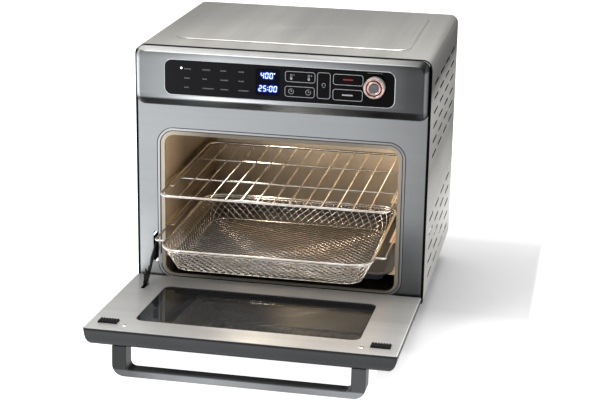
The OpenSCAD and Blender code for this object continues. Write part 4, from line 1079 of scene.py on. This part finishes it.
def buildMarks():
    at = marks
    grey = [outlineShape(roundedRect(*box, at["round"], 6), at["line"]) for box in at["buttons"]]
    grey += [outlineShape(roundedRect(*box, at["stemRound"], 4), at["stemLine"]) for box in at["stems"]]
    grey += [flatShape(arc(*bulb)) for bulb in at["bulbs"]]
    grey += [outlineShape(arc(*dial), at["dialLine"], False) for dial in at["dials"]]
    grey += [block(*stroke) for stroke in at["strokes"]] + dashes(*at["greyWord"])
    dim = dashes(*at["note"])
    for z, lengths in zip(at["rows"], at["lengths"]):
        for x, long in zip(at["columns"], lengths):
            count = int(long / at["space"])
            dim += dashes(x, at["space"], count, at["letter"], z - at["height"] / 2, at["height"])
    addPrint("panelPrint", gather(grey), "panelPrint")
    addPrint("panelLabels", gather(dim), "panelPrintDim")
    addPrint("panelPrintStart", gather(dashes(*at["redWord"])), "panelPrintRed")
    addPrint("panelLamp", flatShape(arc(*at["lamp"]), 0.0, at["lampThick"]), "panelLamp")


# lit digits, each of leaning strokes with a halo behind them

display = {
    "x": -14, "rows": [(307.5, "400"), (290.0, "25:00")], "height": 7.8, "width": 4.3, "gap": 1.6, "stroke": 0.85,
    "strokeGap": 0.6, "lean": 0.09, "halo": 1.0, "colon": 2.4, "dot": 1.0, "dots": (-1.8, 1.4), "degree": 2.6,
    "degreeIn": 0.6, "degreeRadius": 0.9, "degreeLift": 0.05,
    "digitLift": 0.09, "haloLift": 0.02, "film": 0.03, "window": (-30.5, 2, 281, 317, 3),
}
segments = {"0": "abcdef", "2": "abged", "4": "fgbc", "5": "afgcd"}


def digitStrokes(x, zMid):
    h, w, s = display["height"], display["width"], display["stroke"]
    gap, z0, z1 = s * display["strokeGap"], zMid - h / 2, zMid + h / 2
    return {"a": bar(x + s, x + w - s, z1 - s, z1), "d": bar(x + s, x + w - s, z0, z0 + s),
            "g": bar(x + s, x + w - s, zMid - s / 2, zMid + s / 2),
            "f": bar(x, x + s, zMid + gap, z1 - gap), "b": bar(x + w - s, x + w, zMid + gap, z1 - gap),
            "e": bar(x, x + s, z0 + gap, zMid - gap), "c": bar(x + w - s, x + w, z0 + gap, zMid - gap)}


def buildDisplay():
    at = display
    lit, halo = [], []
    wide, around = at["width"] + at["gap"], at["halo"]
    for zMid, word in at["rows"]:
        degree = ":" not in word
        total = sum(at["colon"] if c == ":" else wide for c in word) - at["gap"]
        x = at["x"] - (total + (at["degree"] if degree else 0)) / 2
        for c in word:
            if c == ":":
                for z in at["dots"]:
                    dot = bar(x, x + at["dot"], zMid + z, zMid + z + at["dot"])
                    lit.append(flatShape(dot, at["digitLift"]))
                x += at["colon"]
                continue
            strokes = digitStrokes(x, zMid)
            for name in segments[c]:
                shape = [(px + (pz - zMid) * at["lean"], pz) for px, pz in strokes[name]]
                lit.append(flatShape(shape, at["digitLift"]))
                (xa, za), (xb, zb) = shape[0], shape[2]
                glow = insetRect((xa, xb, za, zb), -around, around, 4)
                halo.append(flatShape(glow, at["haloLift"], at["film"]))
            x += wide
        if degree:
            z = zMid + at["height"] / 2 - at["degreeRadius"]
            lit.append(flatShape(arc(x + at["degreeIn"], z, at["degreeRadius"], 0, 340, 12), at["degreeLift"]))
    window = flatShape(roundedRect(*at["window"], 5), 0.0, at["film"])
    addPrint("displayDigits", gather(lit), "digitLight")
    addPrint("displayHalo", gather(halo), "digitHalo")
    addPrint("displayWindow", window, "digitGlow")


buildGlass()
buildMarks()
buildDisplay()
print("control panel built")

# knob: turned parts with profiles of (radius, height)

knob = {"x": 129, "z": 302, "sunk": 0.4, "teeth": 60, "tooth": 0.2, "toothRings": (2, 3)}
knobParts = {
    "knobBarrel": ("knobSteel", "knob_metal", 2, [
        (12.6, 0.0), (13.2, 0.3), (13.5, 1.0), (13.5, 9.8), (13.45, 10.6), (13.75, 10.9), (13.75, 11.8), (13.5, 12.1),
        (13.1, 12.1), (12.9, 11.0)]),
    "knobFace": ("knobRose", "knob_metal", 0, [
        (13.2, 11.9), (13.15, 12.35), (12.6, 12.7), (11.7, 12.75), (10.9, 12.45), (10.6, 12.0), (10.55, 11.5)]),
    "knobGroove": ("knobDark", "knob_dark", 0, [(10.8, 11.7), (9.2, 11.7)]),
    "knobInner": ("knobRose", "knob_metal", 0, [
        (9.3, 11.5), (9.2, 12.1), (8.8, 12.6), (8.0, 12.75), (7.0, 12.4), (6.4, 11.9), (6.3, 11.3)]),
    "knobCentre": ("knobGrey", "knob_dark", 2, [(6.5, 11.5), (6.1, 11.75), (5.6, 11.85), (3.0, 11.7), (0.6, 11.65)]),
}


def buildKnob():
    spot = ovenPoint(knob["x"], faceY - knob["sunk"], knob["z"])
    place = Matrix.Translation(spot) @ Matrix.Rotation(math.pi / 2, 4, "X")
    around = knob["teeth"] * 2
    for name, (finish, slotName, caps, profile) in knobParts.items():
        rings = []
        for k, (r, h) in enumerate(profile):
            tooth = knob["tooth"] * mm if name == "knobBarrel" and k in knob["toothRings"] else 0.0
            ring = []
            for j in range(around):
                a = 2 * math.pi * j / around
                reach = r * mm + tooth * (1 if j % 2 else -1)
                ring.append((reach * math.cos(a), reach * math.sin(a), h * mm))
            rings.append(ring)
        piece = makePiece(name, stack(rings, caps=caps), finish, "knob", place=place)
        if name == "knobBarrel":
            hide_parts("knob_body")
        if name == "knobCentre":
            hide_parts("knob_cap")


buildKnob()
print("knob built")

# camera, floor and light

studio = {
    "camera": (0.42073, oven["frontY"] - 1.99269, oven["low"] + 0.77740),
    "target": (0.03162, oven["frontY"], oven["low"] + 0.13493),
    "roll": 0.985, "lens": 93.9, "sensor": 36, "far": 50,
    "worldLeft": (0.78, 0.78, 0.77, 1), "worldRight": (0.40, 0.40, 0.41, 1), "worldWide": 0.8,
    "lamps": [("keyLight", (-1.9, -2.1, 2.3), 1.6, 52, (1, 0.99, 0.97)),
        ("fillLight", (2.2, -1.4, 1.4), 1.4, 10, (0.95, 0.97, 1)), ("topLight", (0.2, 0.3, 2.8), 2.2, 52, (1, 1, 1))],
    "lampTarget": (0, 0, 0.2),
}
floorPaper = {
    "half": 9, "colour": (0.95, 0.95, 0.95), "glow": 1.0, "gloss": 0.9, "specular": 0.1,
    "shadowPatchDepth": (-0.25, 0.55),
    "patch": [(0.0, 1.0), (0.1, 0.95), (0.28, 0.9), (0.44, 0.8), (0.68, 0.78), (0.84, 0.9), (0.95, 1.0)],
    "shadowPatchLeft": (0.16, 0.2, 1.0, 0.0), "shadowPatchRight": (0.29, 0.35), "shadowPatchGlow": (0.84, 1.0),
    "dimSides": (0.15, 0.25, 1.0, 0.7), "dimFront": (-0.36, -0.33), "dimRear": (-0.12, -0.05, 1.0, 0.0),
    "dimLeast": 0.7,
}
ovenLight = {"power": 0.06, "colour": (1, 0.9, 0.76), "size": 0.06, "off": 0.004, "aim": (-0.1, -0.03, -0.03)}
cavityLight = {
    "place": (-70, 120, 200), "target": (165, 110, 90), "power": 0.5, "colour": (1, 0.88, 0.7), "size": 0.08,
}


def aimed(place, target):
    aim = Vector(target) - Vector(place)
    return Matrix.Translation(place) @ aim.to_track_quat("-Z", "Y").to_matrix().to_4x4()


def addLamp(name, place, target, size, power, colour):
    light = bpy.data.lights.new(name, "AREA")
    light.shape, light.size, light.size_y = "RECTANGLE", size, size
    light.energy, light.color = power, colour
    lamp = placed(name, light)
    lamp.visible_camera = False
    lamp.matrix_world = aimed(place, target)


def buildCamera():
    camera = placed("camera", bpy.data.cameras.new("camera"))
    roll = Matrix.Rotation(math.radians(studio["roll"]), 4, "Z")
    camera.matrix_world = aimed(studio["camera"], studio["target"]) @ roll
    camera.data.lens, camera.data.sensor_width = studio["lens"], studio["sensor"]
    camera.data.clip_end = studio["far"]
    camera.data.dof.use_dof = False
    scene.camera = camera
    scene.view_settings.view_transform = "Standard"


def buildFloor():
    at = floorPaper
    mesh = bpy.data.meshes.new("floor")
    half = at["half"]
    mesh.from_pydata([(-half, -half, 0), (half, -half, 0), (half, half, 0), (-half, half, 0)], [], [(0, 1, 2, 3)])
    floor = placed("floor", mesh)
    finish = Finish("floorPaper", Specular_IOR_Level=at["specular"], Emission_Strength=at["glow"])
    x, y = finish.axis("X"), finish.axis("Y")
    depth = finish.ramp(y.remap(*at["shadowPatchDepth"]), at["patch"])
    patch = depth.most(x.remap(*at["shadowPatchRight"])).most(x.remap(*at["shadowPatchLeft"]))  # painted shadow, grey beside the oven
    # painted light: the floor glows brighter in a band under the open door and handle, where their shadow falls
    dim = x.size().remap(*at["dimSides"]) * y.remap(*at["dimFront"]) * y.remap(*at["dimRear"])
    # the glow fades out inside the painted shadow
    glow = finish.tint((1, 1, 1), patch.remap(*at["shadowPatchGlow"]))
    finish.set("Emission Color", finish.tint(glow, dim.most(at["dimLeast"])))
    haze = finish.vary(finish.noise(2.0), at["colour"], 0.995, 1.0)
    mesh.materials.append(finish.made(finish.tint(haze, patch), at["gloss"]))


def buildLight():
    world = bpy.data.worlds.new("studio")
    world.use_nodes = True
    scene.world = world
    wires = Wiring(world.node_tree)
    place = wires.add("ShaderNodeTexCoord", {}, {}, "Generated")
    side = wires.add("ShaderNodeSeparateXYZ", {}, [place], "X").remap(-studio["worldWide"], studio["worldWide"])
    back = world.node_tree.nodes["Background"]
    wires.feed(back.inputs["Color"], wires.mix(side, studio["worldLeft"], studio["worldRight"]))
    for name, spot, size, power, colour in studio["lamps"]:
        addLamp(name, spot, studio["lampTarget"], size, power, colour)
    low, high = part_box("lamp_lens")
    bulb = Vector((low.x - ovenLight["off"], (low.y + high.y) / 2, (low.z + high.z) / 2))
    addLamp("ovenLight", bulb, bulb + Vector(ovenLight["aim"]), ovenLight["size"], ovenLight["power"],
            ovenLight["colour"])
    addLamp("cavityLight", ovenPoint(*cavityLight["place"]), ovenPoint(*cavityLight["target"]), cavityLight["size"],
            cavityLight["power"], cavityLight["colour"])


buildCamera()
buildFloor()
buildLight()
print("studio set")

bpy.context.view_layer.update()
